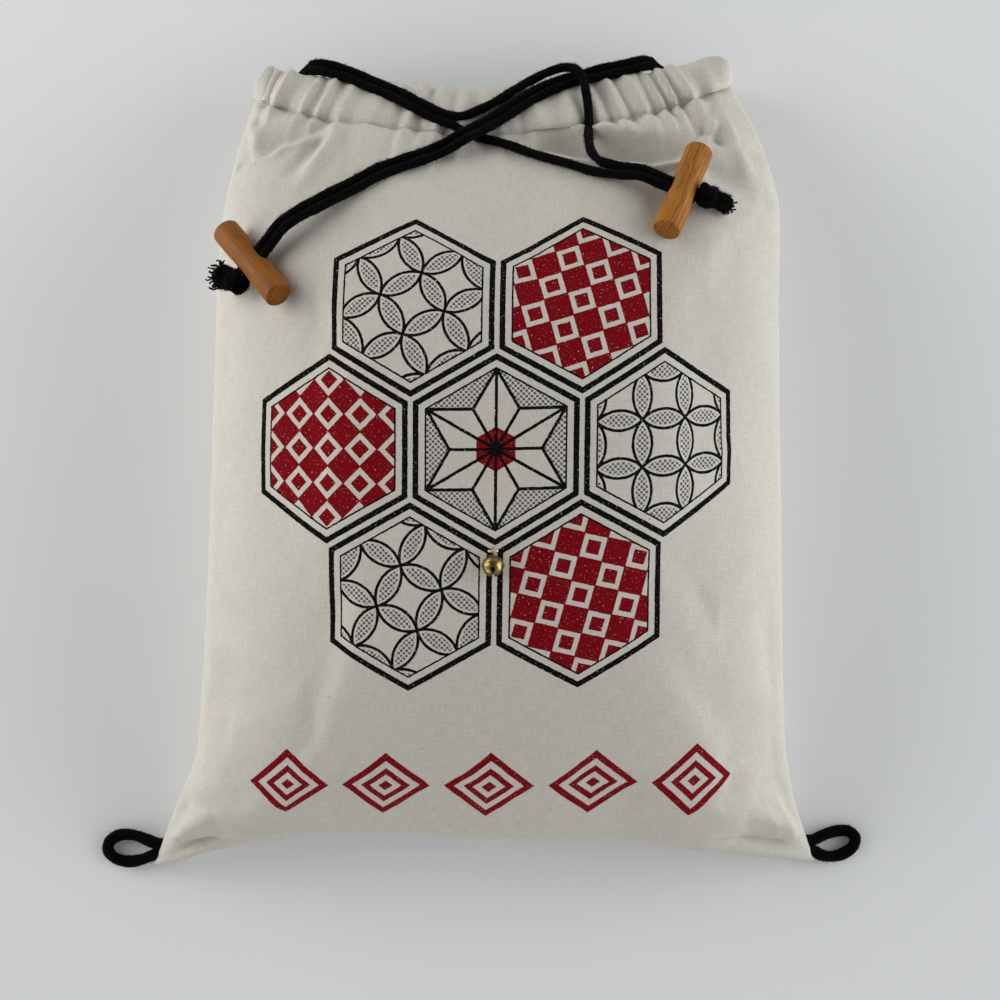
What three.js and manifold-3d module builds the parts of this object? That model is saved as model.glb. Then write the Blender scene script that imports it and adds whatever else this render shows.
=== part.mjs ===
// A drawstring bag of cotton canvas, filled out and lying on its back.
// Millimetres. +Z is up out of the front panel, +Y runs to the mouth, +X to the wearer's left-hand seam.
// The origin is on the flat patch of the back panel that the bag rests on.
import * as THREE from "three";
import { mergeVertices } from "three/addons/utils/BufferGeometryUtils.js";
import Module from "manifold-3d";

const wasm = await Module();
wasm.setup();

// Driving dimensions: the cloth
const SEAT_GAP = 0.3; // between pieces that touch on the real bag
const CLOTH = 1.2; // canvas with its turned edges
const CORNER_PLY = 0.9; // what the turned-in cloth adds to each panel at the bottom corners
const CROWN_HEIGHT = 121; // top of the filled front above the table
const SEAM_HEIGHT = 52; // side seams at mid bag
const MOUTH_SEAM_HEIGHT = 21; // side seams where the casing starts
const BOTTOM_SEAM_HEIGHT = 50; // bottom seam at its middle
const EAR_HEIGHT = 6; // tips of the bottom corners
const MOUTH_DROP = 35; // how far the front falls from the crown to the casing
const BOTTOM_ROUND = 130; // length over which the front swells from the bottom seam
const BACK_ROUND = 70; // the same on the back
const BACK_PRESS = 1.05; // how much deeper than flat the back would hang without the table
const MOUTH_LIFT = 3.4; // the back leaves the table by this much at the casing
const PANEL_COLUMNS = 24;
const PANEL_ROWS = 20;

// Side seams as [y, x], and the bottom seam and the casing's stitch line as middle, slant and sag
const LEFT_SEAM = [[-206, -171], [-169, -155.5], [-141, -144], [-66, -136.5],
  [40, -132.2], [110, -130.5], [150, -125], [187, -116.5]];
const RIGHT_SEAM = [[-204, 173], [-164, 158.5], [-130, 152.5], [-60, 149.2],
  [70, 147.2], [125, 148.5], [160, 141.5], [195, 127]];
const BOTTOM_SEAM = { middle: -187, slant: 1, sag: -18 };
const STITCH_LINE = { middle: 164, slant: 4, sag: 27 };

// Driving dimensions: the casings that carry the cords
const FRONT_EDGE = { middle: 191.5, slant: 3.5, sag: 18, height: 36, droop: 6 };
const BACK_EDGE = { middle: 190, slant: 3, sag: 14, height: 5.5, droop: -3 };
const EDGE_CENTRE = 5;
const EDGE_REACH = 130; // half the mouth's width, if the casing ran to the seams
const CASING_END = 0.84; // share of the mouth's half width where the slits start
const CASING_HALF_THICKNESS = 4.2;
const CASING_STATIONS = 20;
const CASING_SIDES = 12;
const CASING_CLEAR = 0.5; // from the panels' top edges, where both are faceted

// Driving dimensions: cords, toggles, knots
const CORD = 4;
const CORD_SIDES = 8;
const CORD_PITCH = 4.4; // two strands side by side
const RUN_OFFSET = 4.5; // each cord's place in the casing, either side of its middle
const BIGHT = 0.78; // how far a cord bows out where it turns round a slit, as a share of half its width
const TOGGLE_LENGTH = 52;
const TOGGLE = 13.5;
const TOGGLE_WAIST = 0.35; // how much thinner the radius is at the hole
const TOGGLE_EDGE = 0.9; // rounding of its ends
const HOLE_CLEARANCE = 0.35;
const KNOT = 10;
const KNOT_LENGTH = 9.4;
const TASSEL = 8.6;
const TASSEL_LENGTH = 14;
const LEFT_SLIDE = 16; // how far each toggle runs along its straight cord
const RIGHT_SLIDE = 12;
const STRAIGHT_SPARE = 1.5;
const LOOP_CORD = 5.2; // the same cord, spread by the seam that holds it
const LOOP_SEATS = [10, 5]; // where a loop's ends meet the side seam, above the corner's tip

// Driving dimensions: the bell
const BELL = 10;
const BELL_WALL = 0.5;
const BELL_SLOT = 1.1;
const BELL_SLOT_LENGTH = 7;
const BELL_HOLE = 2;
const BELL_STEPS = 6;
const BELL_SEGMENTS = 20;
const PELLET = 3;
const EYE_RADIUS = 1.6; // to the middle of its wire
const EYE_WIRE = 0.8;
const THREAD = 0.9;
const THREAD_SPAN = 4.4;
const THREAD_FOOT = 0.45; // its ends above the cloth
const EYE_LIFT = 2.4; // the eye's middle above the cloth
const BELL_PLACE = [5.9, -39.4];

// Where each toggle lies, and the way its axis points in plan, from its low end to its high end
// tassel is the way that the frayed ends point
const LEFT_TOGGLE = { place: [-105, 95.4], axis: [0.65, -0.76], slide: LEFT_SLIDE, tassel: [-0.75, 0.3, -0.59] };
const RIGHT_TOGGLE = { place: [94.8, 128], axis: [-0.4, -0.916], slide: RIGHT_SLIDE, tassel: [0.84, -0.3, -0.45] };

const vec = (x, y, z) => new THREE.Vector3(x, y, z);
const mix = (a, b, t) => a + (b - a) * t;
const clamp = (x, low, high) => Math.min(Math.max(x, low), high);
const bend = (line, s) => line.middle + line.slant * s + line.sag * s * s;

// A smooth curve through [position, value] points that never overshoots between two of them
function smoothThrough(points) {
  const slopes = points.slice(1).map((p, i) => (p[1] - points[i][1]) / (p[0] - points[i][0]));
  const tangents = points.map((p, i) => {
    const before = slopes[Math.max(i - 1, 0)];
    const after = slopes[Math.min(i, slopes.length - 1)];
    return before * after <= 0 ? 0 : (2 * before * after) / (before + after);
  });
  return (where) => {
    const at = clamp(where, points[0][0], points[points.length - 1][0]);
    const i = Math.max(points.findIndex((p, k) => k > 0 && at <= p[0]) - 1, 0);
    const [from, to] = [points[i], points[i + 1]];
    const length = to[0] - from[0];
    const t = (at - from[0]) / length;
    return from[1] * (1 + 2 * t) * (1 - t) ** 2 + tangents[i] * length * t * (1 - t) ** 2
      + to[1] * t * t * (3 - 2 * t) + tangents[i + 1] * length * t * t * (t - 1);
  };
}

// The bag's plan: s runs from -1 at the left seam to 1 at the right one, t from the bottom seam to the casing
const leftSeam = smoothThrough(LEFT_SEAM);
const rightSeam = smoothThrough(RIGHT_SEAM);
const planCentre = (y) => (leftSeam(y) + rightSeam(y)) / 2;
const planHalf = (y) => (rightSeam(y) - leftSeam(y)) / 2;

// The surface through all the seams, which both panels leave
function seamHeight(s, t) {
  const rise = (1 - (1 - t) ** 6) ** 1.5;
  const side = EAR_HEIGHT + (SEAM_HEIGHT - EAR_HEIGHT) * rise - (SEAM_HEIGHT - MOUTH_SEAM_HEIGHT) * t ** 8;
  const bottom = (BOTTOM_SEAM_HEIGHT - EAR_HEIGHT) * Math.max(1 - s * s, 0) ** 0.9;
  return side + bottom * (1 - t) ** 6;
}

const swell = (share) => (1 - (1 - clamp(share, 0, 1)) ** 2) ** 0.6;
const acrossFront = (s) => Math.max(1 - Math.abs(s) ** 2.4, 0) ** 0.55;
const acrossBack = (s) => Math.max(1 - Math.abs(s) ** 4, 0) ** 0.6;
const fallStart = 20; // the front starts to fall to the mouth from here

// How far y is along a panel at s, from its bottom seam to its stitch line
function shareAlong(s, y) {
  const bottom = bend(BOTTOM_SEAM, s);
  return clamp((y - bottom) / (bend(STITCH_LINE, s) - bottom), 0, 1);
}

// The turned-in cloth at the bottom corners makes each panel thicker there, on its outer face
const cornerPly = (s, t, wall) => CORNER_PLY * (1 - wall / CLOTH) * s ** 20 * (1 - t) ** 12;

// Height of the front cloth's outer face, or of its inner face when the wall is given.
// The inner face is drawn in from the seams, and slope is how much higher the seams' surface lies at its own place.
function frontHeight(s, y, wall = 0, slope = 0) {
  const t = shareAlong(s, y);
  const fall = clamp((y - fallStart) / (bend(STITCH_LINE, s) - fallStart), 0, 1) ** 2.2;
  const rise = swell((y - bend(BOTTOM_SEAM, s)) / BOTTOM_ROUND);
  const bulge = (CROWN_HEIGHT - SEAM_HEIGHT - wall) * rise - MOUTH_DROP * fall;
  return seamHeight(s, t) + slope + SEAT_GAP / 2 + bulge * acrossFront(s) + cornerPly(s, t, wall);
}

function backHeight(s, y, wall = 0, slope = 0) {
  const t = shareAlong(s, y);
  const lift = MOUTH_LIFT * clamp((t - 0.9) / 0.1, 0, 1);
  const depth = seamHeight(0, t) * mix(BACK_PRESS, 1, clamp((t - 0.85) / 0.15, 0, 1)) - lift - wall;
  const hang = depth * acrossBack(s) * swell((y - bend(BOTTOM_SEAM, s)) / BACK_ROUND);
  return Math.max(seamHeight(s, t) + slope - SEAT_GAP / 2 - hang - cornerPly(s, t, wall), wall);
}

// A point of a panel, drawn in from its seams by inset
function panelPoint(height, s, t, inset) {
  const row = mix(bend(BOTTOM_SEAM, s), bend(STITCH_LINE, s), t);
  const y = row + inset * (1 - t);
  const x = planCentre(y) + (planHalf(y) - inset) * s;
  const place = (x - planCentre(y)) / planHalf(y);
  const slope = seamHeight(place, shareAlong(place, y)) - seamHeight(s, shareAlong(s, row));
  return vec(x, y, height(s, row, inset, slope));
}

// Closed solids from rings or grids of points
function solid(points, quads) {
  const geometry = new THREE.BufferGeometry();
  const triangles = quads.flatMap((q) => (q.length === 4 ? [q[0], q[1], q[2], q[0], q[2], q[3]] : q));
  let volume = 0;
  for (let i = 0; i < triangles.length; i += 3) {
    const [a, b, c] = [0, 1, 2].map((k) => points[triangles[i + k]]);
    volume += a.dot(b.clone().cross(c));
  }
  geometry.setAttribute("position", new THREE.Float32BufferAttribute(points.flatMap((p) => p.toArray()), 3));
  geometry.setIndex(volume < 0 ? triangles.reverse() : triangles);
  geometry.computeVertexNormals();
  return geometry;
}

// A cloth shell between two grids of points, closed along its four edges
function clothShell(outer, inner, columns, rows) {
  const points = [];
  for (const face of [outer, inner])
    for (let j = 0; j <= rows; j++) for (let i = 0; i <= columns; i++) points.push(face(i, j));
  const at = (i, j, side) => side * (columns + 1) * (rows + 1) + j * (columns + 1) + i;
  const quads = [];
  for (let j = 0; j < rows; j++)
    for (let i = 0; i < columns; i++) {
      quads.push([at(i, j, 0), at(i + 1, j, 0), at(i + 1, j + 1, 0), at(i, j + 1, 0)]);
      quads.push([at(i, j, 1), at(i, j + 1, 1), at(i + 1, j + 1, 1), at(i + 1, j, 1)]);
    }
  for (let i = 0; i < columns; i++) {
    quads.push([at(i, 0, 0), at(i, 0, 1), at(i + 1, 0, 1), at(i + 1, 0, 0)]);
    quads.push([at(i, rows, 0), at(i + 1, rows, 0), at(i + 1, rows, 1), at(i, rows, 1)]);
  }
  for (let j = 0; j < rows; j++) {
    quads.push([at(0, j, 0), at(0, j + 1, 0), at(0, j + 1, 1), at(0, j, 1)]);
    quads.push([at(columns, j, 0), at(columns, j, 1), at(columns, j + 1, 1), at(columns, j + 1, 0)]);
  }
  return solid(points, quads);
}

function panelGeometry(height) {
  const across = (i) => -Math.cos((Math.PI * i) / PANEL_COLUMNS);
  const along = (j) => (j / PANEL_ROWS) ** 1.5;
  const face = (inset) => (i, j) => panelPoint(height, across(i), along(j), inset);
  return clothShell(face(0), face(CLOTH), PANEL_COLUMNS, PANEL_ROWS);
}

// The casing: a flat tunnel from the stitch line to the mouth's edge, open at both slits
function casingFrame(height, edge, s) {
  const stitchY = bend(STITCH_LINE, s);
  const panelTop = (height(s, stitchY, 0) + height(s, stitchY, CLOTH)) / 2;
  const from = vec(planCentre(stitchY) + planHalf(stitchY) * s, stitchY, panelTop);
  const to = vec(EDGE_CENTRE + EDGE_REACH * s, bend(edge, s), edge.height - edge.droop * s * s);
  const up = to.clone().sub(from);
  const half = (up.length() - CASING_CLEAR) / 2;
  up.normalize();
  const middle = from.clone().addScaledVector(up, CASING_CLEAR + half);
  return { middle, up, half, from, to };
}

function casingNormal(height, edge, s) {
  const step = 0.01;
  const along = casingFrame(height, edge, s + step).middle.sub(casingFrame(height, edge, s - step).middle);
  return along.cross(casingFrame(height, edge, s).up).normalize();
}

const flattened = (value) => Math.sign(value) * Math.abs(value) ** 0.75;

// The casing's cross-section at s, or the inside of it when the wall is given
function casingRing(height, edge, s, wall = 0) {
  const { middle, up, half } = casingFrame(height, edge, s);
  const normal = casingNormal(height, edge, s);
  return Array.from({ length: CASING_SIDES }, (_, i) => {
    const angle = (2 * Math.PI * i) / CASING_SIDES;
    const rise = (half - wall) * flattened(Math.cos(angle));
    const out = (CASING_HALF_THICKNESS - wall) * flattened(Math.sin(angle));
    return middle.clone().addScaledVector(up, rise).addScaledVector(normal, out);
  });
}

function casingGeometry(height, edge) {
  const points = [];
  const rings = [];
  for (let k = 0; k <= CASING_STATIONS; k++) {
    const s = mix(-CASING_END, CASING_END, k / CASING_STATIONS);
    for (const wall of [0, CLOTH]) {
      rings.push(points.length);
      points.push(...casingRing(height, edge, s, wall));
    }
  }
  const quads = [];
  for (let i = 0; i < CASING_SIDES; i++) {
    const next = (i + 1) % CASING_SIDES;
    for (let k = 0; k < CASING_STATIONS; k++) {
      const [outer, inner, outerNext, innerNext] = rings.slice(2 * k, 2 * k + 4);
      quads.push([outer + i, outer + next, outerNext + next, outerNext + i]);
      quads.push([inner + i, innerNext + i, innerNext + next, inner + next]);
    }
    const [first, firstInner] = rings;
    const [last, lastInner] = rings.slice(-2);
    quads.push([first + i, firstInner + i, firstInner + next, first + next]);
    quads.push([last + i, last + next, lastInner + next, lastInner + i]);
  }
  return solid(points, quads);
}

// Height of the bag's outer face over (x, y), which is the panel's or the casing's. Past the mouth's edge
// there is none.
function topHeight(x, y) {
  let s = clamp((x - planCentre(y)) / planHalf(y), -1, 1);
  if (y <= bend(STITCH_LINE, s)) return frontHeight(s, y);
  for (let k = 0; k < 6; k++) {
    const { from, to } = casingFrame(frontHeight, FRONT_EDGE, s);
    const v = clamp((y - from.y) / (to.y - from.y), 0, 1);
    s = clamp(s + (x - mix(from.x, to.x, v)) / planHalf(y), -CASING_END, CASING_END);
  }
  const ring = casingRing(frontHeight, FRONT_EDGE, s);
  const crossed = ring.map((p, i) => [p, ring[(i + 1) % CASING_SIDES]]).filter(([p, q]) => (p.y < y) !== (q.y < y));
  return Math.max(...crossed.map(([p, q]) => mix(p.z, q.z, (y - p.y) / (q.y - p.y))));
}

const topPoint = (x, y) => vec(x, y, topHeight(x, y));

function topNormal(x, y) {
  const step = 2;
  const slope = (dx, dy) => (topHeight(x + dx, y + dy) - topHeight(x - dx, y - dy)) / (2 * step);
  return vec(-slope(step, 0), -slope(0, step), 1).normalize();
}

const LAY = CORD / 2 + SEAT_GAP; // a strand's middle above the cloth that it lies on

// The lowest place over (x, y) that is further than lift from all the cloth round it
function over(x, y, lift = LAY) {
  let z = topHeight(x, y) + lift;
  for (let i = 0; i < 12; i++)
    for (const share of [0.4, 0.7, 0.9]) {
      const angle = (Math.PI * i) / 6;
      const around = topHeight(x + lift * share * Math.cos(angle), y + lift * share * Math.sin(angle));
      z = Math.max(z, around + lift * Math.sqrt(1 - share * share));
    }
  return vec(x, y, z);
}

// A place by the mouth's front edge: how far beyond the edge, and how far above it
function byEdge(x, beyond, above) {
  const s = (x - EDGE_CENTRE) / EDGE_REACH;
  return vec(x, bend(FRONT_EDGE, s) + beyond, FRONT_EDGE.height - FRONT_EDGE.droop * s * s + above);
}

// A stretch of a cord's route with one step between neighbouring points, so that the steps are close
// where the route turns. Neighbouring stretches of one route leave a gap, with their end faces parallel.
class Stretch extends THREE.Curve {
  constructor(points, first, last) {
    super();
    const spans = points.length - 1;
    const trim = (i, k) => (SEAT_GAP / 2 / points[i].distanceTo(points[k]));
    this.route = new THREE.CatmullRomCurve3(points, false, "centripetal");
    this.from = (first + (first > 0 ? trim(first, first + 1) : 0)) / spans;
    this.to = (last - (last < spans ? trim(last, last - 1) : 0)) / spans;
    this.steps = last - first;
  }

  getPoint(t, target) {
    return this.route.getPoint(mix(this.from, this.to, t), target);
  }

  getUtoTmapping(u) {
    return u;
  }
}

function cordGeometry(points, first = 0, last = points.length - 1, diameter = CORD) {
  const corners = Array.from({ length: CORD_SIDES }, (_, i) => {
    const angle = (2 * Math.PI * (i + 0.5)) / CORD_SIDES;
    return new THREE.Vector2(Math.cos(angle), Math.sin(angle)).multiplyScalar(diameter / 2);
  });
  const extrudePath = new Stretch(points, first, last);
  const options = { steps: extrudePath.steps, extrudePath, bevelEnabled: false };
  return new THREE.ExtrudeGeometry(new THREE.Shape(corners), options);
}

// A cord's turn in a slit, from its run in a casing back into the mouth, for the front and the back casing.
// Each place is how far past the run's end, how far towards the mouth's edge, and what share of the way
// to the other casing.
const SLIT_TURNS = [
  [[3.4, 0.3, 0.02], [5.8, 0.6, 0.115], [6, 1.1, 0.25], [3.7, 1.7, 0.36], [-0.6, 2.3, 0.4], [-7.6, 4.4, 0.39]],
  [[3.4, 1.4, 0.02], [5.6, 2.6, 0.11], [5.8, 3.2, 0.24], [3.5, 3.8, 0.35], [-0.7, 4.4, 0.39], [-7.4, 7, 0.39]],
];

// Each cord passes through both casings: it turns round at one slit and comes out at the other.
// way is 1 for the cord that comes out at the right slit, -1 for the one that comes out at the left.
function casingRun(way, offset) {
  const place = (height, edge, s) => {
    const { middle, up } = casingFrame(height, edge, s);
    return middle.addScaledVector(up, offset);
  };
  const stops = [CASING_END, 0.6, 0.3, 0, -0.3, -0.6, -CASING_END].map((s) => s * way);
  const front = stops.map((s) => place(frontHeight, FRONT_EDGE, s));
  const back = stops.map((s) => place(backHeight, BACK_EDGE, s)).reverse();
  const [turnFrom, turnTo] = [front[front.length - 1], back[0]];
  const centre = turnFrom.clone().add(turnTo).multiplyScalar(0.5);
  const arm = turnFrom.clone().sub(centre);
  const lean = Math.max(-offset, 0); // the cord nearer the panels bows clear of their corners
  const bight = [30, 60, 90, 120, 150].map((degrees) => {
    const angle = THREE.MathUtils.degToRad(degrees);
    const bow = vec(-way * BIGHT * arm.length(), lean, 0).multiplyScalar(Math.sin(angle));
    return centre.clone().addScaledVector(arm, Math.cos(angle)).add(bow);
  });
  const depth = front[0].z - back[back.length - 1].z;
  const outFront = SLIT_TURNS[0].map(([x, y, z]) => front[0].clone().add(vec(way * x, y, -depth * z)));
  const outBack = SLIT_TURNS[1].map(([x, y, z]) => back[back.length - 1].clone().add(vec(way * x, y, depth * z)));
  return [...outFront.reverse(), ...front, ...bight, ...back, ...outBack];
}

// A toggle's place on the cloth: its axis up the slope, its hole along the way it slides
function togglePose({ place, axis }) {
  const normal = topNormal(...place);
  const rise = -(axis[0] * normal.x + axis[1] * normal.y) / normal.z;
  const along = vec(axis[0], axis[1], rise).normalize();
  const slide = normal.clone().cross(along).normalize();
  if (slide.x * place[0] > 0) slide.negate();
  const centre = topPoint(...place).addScaledVector(normal, TOGGLE / 2 + SEAT_GAP);
  return { centre, along, slide, normal };
}

// The straight stretch of a strand through a toggle's hole to the knot
function toggleLine(toggle, side) {
  const { centre, along, slide } = togglePose(toggle);
  const straight = TOGGLE / 2 + toggle.slide + STRAIGHT_SPARE;
  return [straight, straight * 0.6, 0, -TOGGLE / 2 - SEAT_GAP]
    .map((far) => centre.clone().addScaledVector(slide, far).addScaledVector(along, (side * CORD_PITCH) / 2));
}

// Points of one strand of a pair that lies side by side on the cloth. A point is [x, y, lift]
function beside(points, side) {
  return points.map(([x, y, lift], i) => {
    const [before, after] = [points[Math.max(i - 1, 0)], points[Math.min(i + 1, points.length - 1)]];
    const forward = new THREE.Vector2(after[0] - before[0], after[1] - before[1]).normalize();
    const aside = (side * CORD_PITCH) / 2;
    return over(x - forward.y * aside, y + forward.x * aside, lift);
  });
}

// Turns a shape made along +Y into a place where +Y points along, and +Z comes as near up as it can
function placed(mesh, centre, along, up) {
  const z = up.clone().addScaledVector(along, -up.dot(along)).normalize();
  const x = along.clone().cross(z);
  mesh.quaternion.setFromRotationMatrix(new THREE.Matrix4().makeBasis(x, along, z));
  mesh.position.copy(centre);
  return mesh;
}

function asSolid(geometry) {
  const bare = geometry.clone().deleteAttribute("normal").deleteAttribute("uv");
  const merged = mergeVertices(bare, 1e-4);
  return new wasm.Manifold(new wasm.Mesh({
    numProp: 3,
    vertProperties: new Float32Array(merged.attributes.position.array),
    triVerts: new Uint32Array(merged.index.array),
  }));
}

function asGeometry(manifold) {
  const mesh = manifold.getMesh();
  const geometry = new THREE.BufferGeometry();
  geometry.setAttribute("position", new THREE.Float32BufferAttribute(mesh.vertProperties, 3));
  geometry.setIndex(Array.from(mesh.triVerts));
  geometry.computeVertexNormals();
  return geometry;
}

const lathe = (profile, segments) =>
  new THREE.LatheGeometry(profile.map(([r, h]) => new THREE.Vector2(r, h)), segments);

// The toggle is a turned peg, a little waisted, with a long hole through its middle for both strands
function toggleGeometry() {
  const [half, radius] = [TOGGLE_LENGTH / 2, TOGGLE / 2];
  const end = [[0, half], [radius - TOGGLE_EDGE, half], [radius - TOGGLE_EDGE * 0.3, half - TOGGLE_EDGE * 0.3],
    [radius, half - TOGGLE_EDGE], [radius, half * 0.6], [radius - TOGGLE_WAIST, half * 0.2]];
  const peg = lathe([...end.map(([r, h]) => [r, -h]), ...end.slice().reverse()], 24);
  const [width, length] = [CORD / 2 + HOLE_CLEARANCE, CORD_PITCH / 2];
  const slot = new THREE.Shape();
  slot.absarc(0, length, width, 0, Math.PI);
  slot.absarc(0, -length, width, Math.PI, 2 * Math.PI);
  const drill = new THREE.ExtrudeGeometry(slot, { depth: 2 * TOGGLE, bevelEnabled: false, curveSegments: 6 });
  drill.translate(0, 0, -TOGGLE);
  drill.rotateY(Math.PI / 2);
  return asGeometry(asSolid(peg).subtract(asSolid(drill)));
}

// The knot shows as two round turns of cord, drawn up against the toggle
function knotGeometry() {
  const [half, radius] = [KNOT_LENGTH / 2, KNOT / 2];
  return lathe([[0, -half], [radius * 0.5, -half], [radius * 0.9, -half * 0.7], [radius, -half * 0.4],
    [radius * 0.86, 0], [radius * 0.96, half * 0.4], [radius * 0.8, half * 0.8], [radius * 0.45, half],
    [0, half]], 14);
}

// Frayed cord ends spread into a short brush
function tasselGeometry() {
  const radius = TASSEL / 2;
  return lathe([[0, 0], [radius * 0.6, 0], [radius * 0.72, TASSEL_LENGTH * 0.3], [radius, TASSEL_LENGTH * 0.75],
    [radius * 0.85, TASSEL_LENGTH], [0, TASSEL_LENGTH * 0.94]], 12);
}

// The bell is spun in two shells, with a slot that ends in two round holes across its lower one
function bellShell(lower) {
  const arc = (radius) => Array.from({ length: BELL_STEPS + 1 }, (_, i) => {
    const angle = mix(Math.asin(SEAT_GAP / 2 / radius), Math.PI / 2, i / BELL_STEPS);
    return [i === BELL_STEPS ? 0 : radius * Math.cos(angle), radius * Math.sin(angle)];
  });
  const outer = BELL / 2;
  const inner = outer - BELL_WALL;
  const profile = [...arc(inner).reverse(), ...arc(outer)];
  const shell = lathe(profile, BELL_SEGMENTS);
  if (!lower) return shell;
  shell.rotateX(Math.PI);
  const slot = new THREE.BoxGeometry(BELL_SLOT, BELL, BELL_SLOT_LENGTH).translate(0, -BELL / 2 - BELL_HOLE, 0);
  let cut = asSolid(shell).subtract(asSolid(slot));
  for (const side of [-1, 1]) {
    const hole = new THREE.CylinderGeometry(BELL_HOLE / 2, BELL_HOLE / 2, BELL, 10);
    hole.translate(0, -BELL / 2 - BELL_HOLE, (side * BELL_SLOT_LENGTH) / 2);
    cut = cut.subtract(asSolid(hole));
  }
  return asGeometry(cut);
}

// The thread's loop stands across the eye, both ends on the cloth
function threadGeometry() {
  const [half, low, high] = [THREAD_SPAN / 2, THREAD_FOOT, EYE_LIFT];
  const knee = mix(low, high, 0.6);
  const profile = [[-1, low], [-0.92, knee], [-0.55, high], [0, high], [0.55, high], [0.92, knee], [1, low]];
  const points = profile.map(([x, z]) => vec(half * x, 0, z - EYE_LIFT));
  return cordGeometry(points, 0, points.length - 1, THREAD);
}

// Where a corner loop's cord meets the seam of a bottom corner, standing off by its own radius
function cornerEnd(side, above) {
  const y = bend(BOTTOM_SEAM, side) + above;
  const seam = side < 0 ? leftSeam : rightSeam;
  const t = above / (bend(STITCH_LINE, side) - bend(BOTTOM_SEAM, side));
  const edge = new THREE.Vector2(seam(y + 1) - seam(y - 1), 2).normalize();
  const off = side * (LOOP_CORD / 2 + SEAT_GAP);
  return vec(seam(y) + off * edge.y, y - off * edge.x, seamHeight(side, t));
}

// A loop of cord whose two ends are sewn into a bottom corner, rounded where they turn on the seam
function loopGeometry(side, route) {
  const ends = LOOP_SEATS.map((above) => cornerEnd(side, above));
  const middle = ends[0].clone().add(ends[1]).multiplyScalar(0.5);
  const round = route.map(([x, y, z]) => vec(middle.x + side * x, middle.y + y, LOOP_CORD / 2 + SEAT_GAP + z));
  const points = [ends[0], ...round, ends[1]];
  let loop = asSolid(cordGeometry(points, 0, points.length - 1, LOOP_CORD));
  for (const end of ends) {
    const ball = new THREE.SphereGeometry(LOOP_CORD / 2, 10, 7).translate(end.x, end.y, end.z);
    loop = loop.add(asSolid(ball));
  }
  return asGeometry(loop);
}

const finish = (color, roughness, metalness = 0) => new THREE.MeshStandardMaterial({ color, roughness, metalness });
const canvas = () => finish(0xcdc9bf, 0.9);
const blackCotton = () => finish(0x141416, 0.95);
const beech = () => finish(0xc88c50, 0.6);
const brass = () => finish(0xb59a52, 0.3, 1);
const paleThread = () => finish(0xd8cfb4, 0.85);

const bag = new THREE.Group();

function piece(name, geometry, material, holder = bag) {
  const mesh = new THREE.Mesh(geometry, material);
  mesh.name = name;
  holder.add(mesh);
  return mesh;
}

// Cloth
piece("front_panel", panelGeometry(frontHeight), canvas());
piece("back_panel", panelGeometry(backHeight), canvas());
piece("front_casing", casingGeometry(frontHeight, FRONT_EDGE), canvas());
piece("back_casing", casingGeometry(backHeight, BACK_EDGE), canvas());

// The cords. Each is one route from knot to knot, modelled as three stretches that meet in the mouth.
// The left toggle's cord comes out at the right slit, and the other way round.
const laid = (points) => points.map(([x, y, lift]) => over(x, y, lift));
const edged = (points) => points.map(([x, beyond, above]) => byEdge(x, beyond, above));

const leftPair = [[35.5, 190.8], [21, 182.2], [9.4, 173.4, LAY + 1.6], [-0.6, 166.2, LAY + 4.8],
  [-8.4, 161.4, LAY + 4.8], [-19, 154.8, LAY + 1], [-34, 148.2], [-48, 142.4], [-61, 134.4, LAY + 0.6],
  [-75, 126.2, LAY + 3.6]];
const rightPair = [[-55.5, 192.2], [-43.8, 186.6], [-32.3, 180], [-21.6, 173.9]];

const cords = {
  left_toggle_cord: {
    run: casingRun(1, -RUN_OFFSET),
    exits: [edged([[96, -3, -7.5], [89.3, 0.8, -3.9]]), edged([[96.4, -1.6, -12.9], [90, 3.1, -9.8]])],
    strands: [
      [...edged([[84.2, 2.8, 0.9], [79.8, 2.3, 3.4], [72.6, 1.3, 4.8], [60, 0.2, 6.2]]), over(47.2, 193.3),
        ...beside(leftPair, 1), ...toggleLine(LEFT_TOGGLE, 1)],
      [...edged([[85.8, 6, -4.1], [81, 6.4, 0.5], [73, 5.6, 2.4], [60.4, 4.8, 2.8], [48.8, 2.9, 3.4]]),
        ...beside(leftPair, -1), ...toggleLine(LEFT_TOGGLE, -1)],
    ],
  },
  right_toggle_cord: {
    run: casingRun(-1, RUN_OFFSET),
    exits: [edged([[-90.2, 1.8, -4.4]]), edged([[-90.4, 4.3, -10.1]])],
    strands: [
      [...edged([[-86.4, 2.9, 0.4], [-82.2, 2.7, 3.9], [-75.6, 2, 5.1], [-67.6, 0.6, 6]]), over(-61.6, 192.6),
        ...beside(rightPair, -1), ...laid([[-14.6, 169], [-7.4, 164.6], [0.6, 161.6], [11, 158.2], [25.2, 151.8],
          [41, 146.3], [54, 141.4, LAY + 0.8], [65, 139, LAY + 3.8]]), ...toggleLine(RIGHT_TOGGLE, 1)],
      [...edged([[-86.4, 6.9, -4], [-82, 7.3, 1.3], [-75.2, 6.5, 3.3], [-64.6, 4.4, 3.6]]),
        ...beside(rightPair, 1), ...laid([[-10.6, 173.4], [-0.7, 177.4], [9, 183], [17, 189]]),
        ...edged([[25.7, 2.8, 2.8], [34.6, 6.4, 2.5], [42.6, 7, 5.2], [48, 3.8, 9.6], [50.6, -1.8, 12.4]]),
        ...laid([[51.9, 185.6, LAY + 1.8], [52.8, 176.6], [52.8, 168], [52.4, 159.4], [53.6, 152.2, LAY + 0.4],
          [57.6, 146.8, LAY + 1.4], [66.2, 143.6, LAY + 4]]), ...toggleLine(RIGHT_TOGGLE, -1)],
    ],
  },
};

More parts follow.
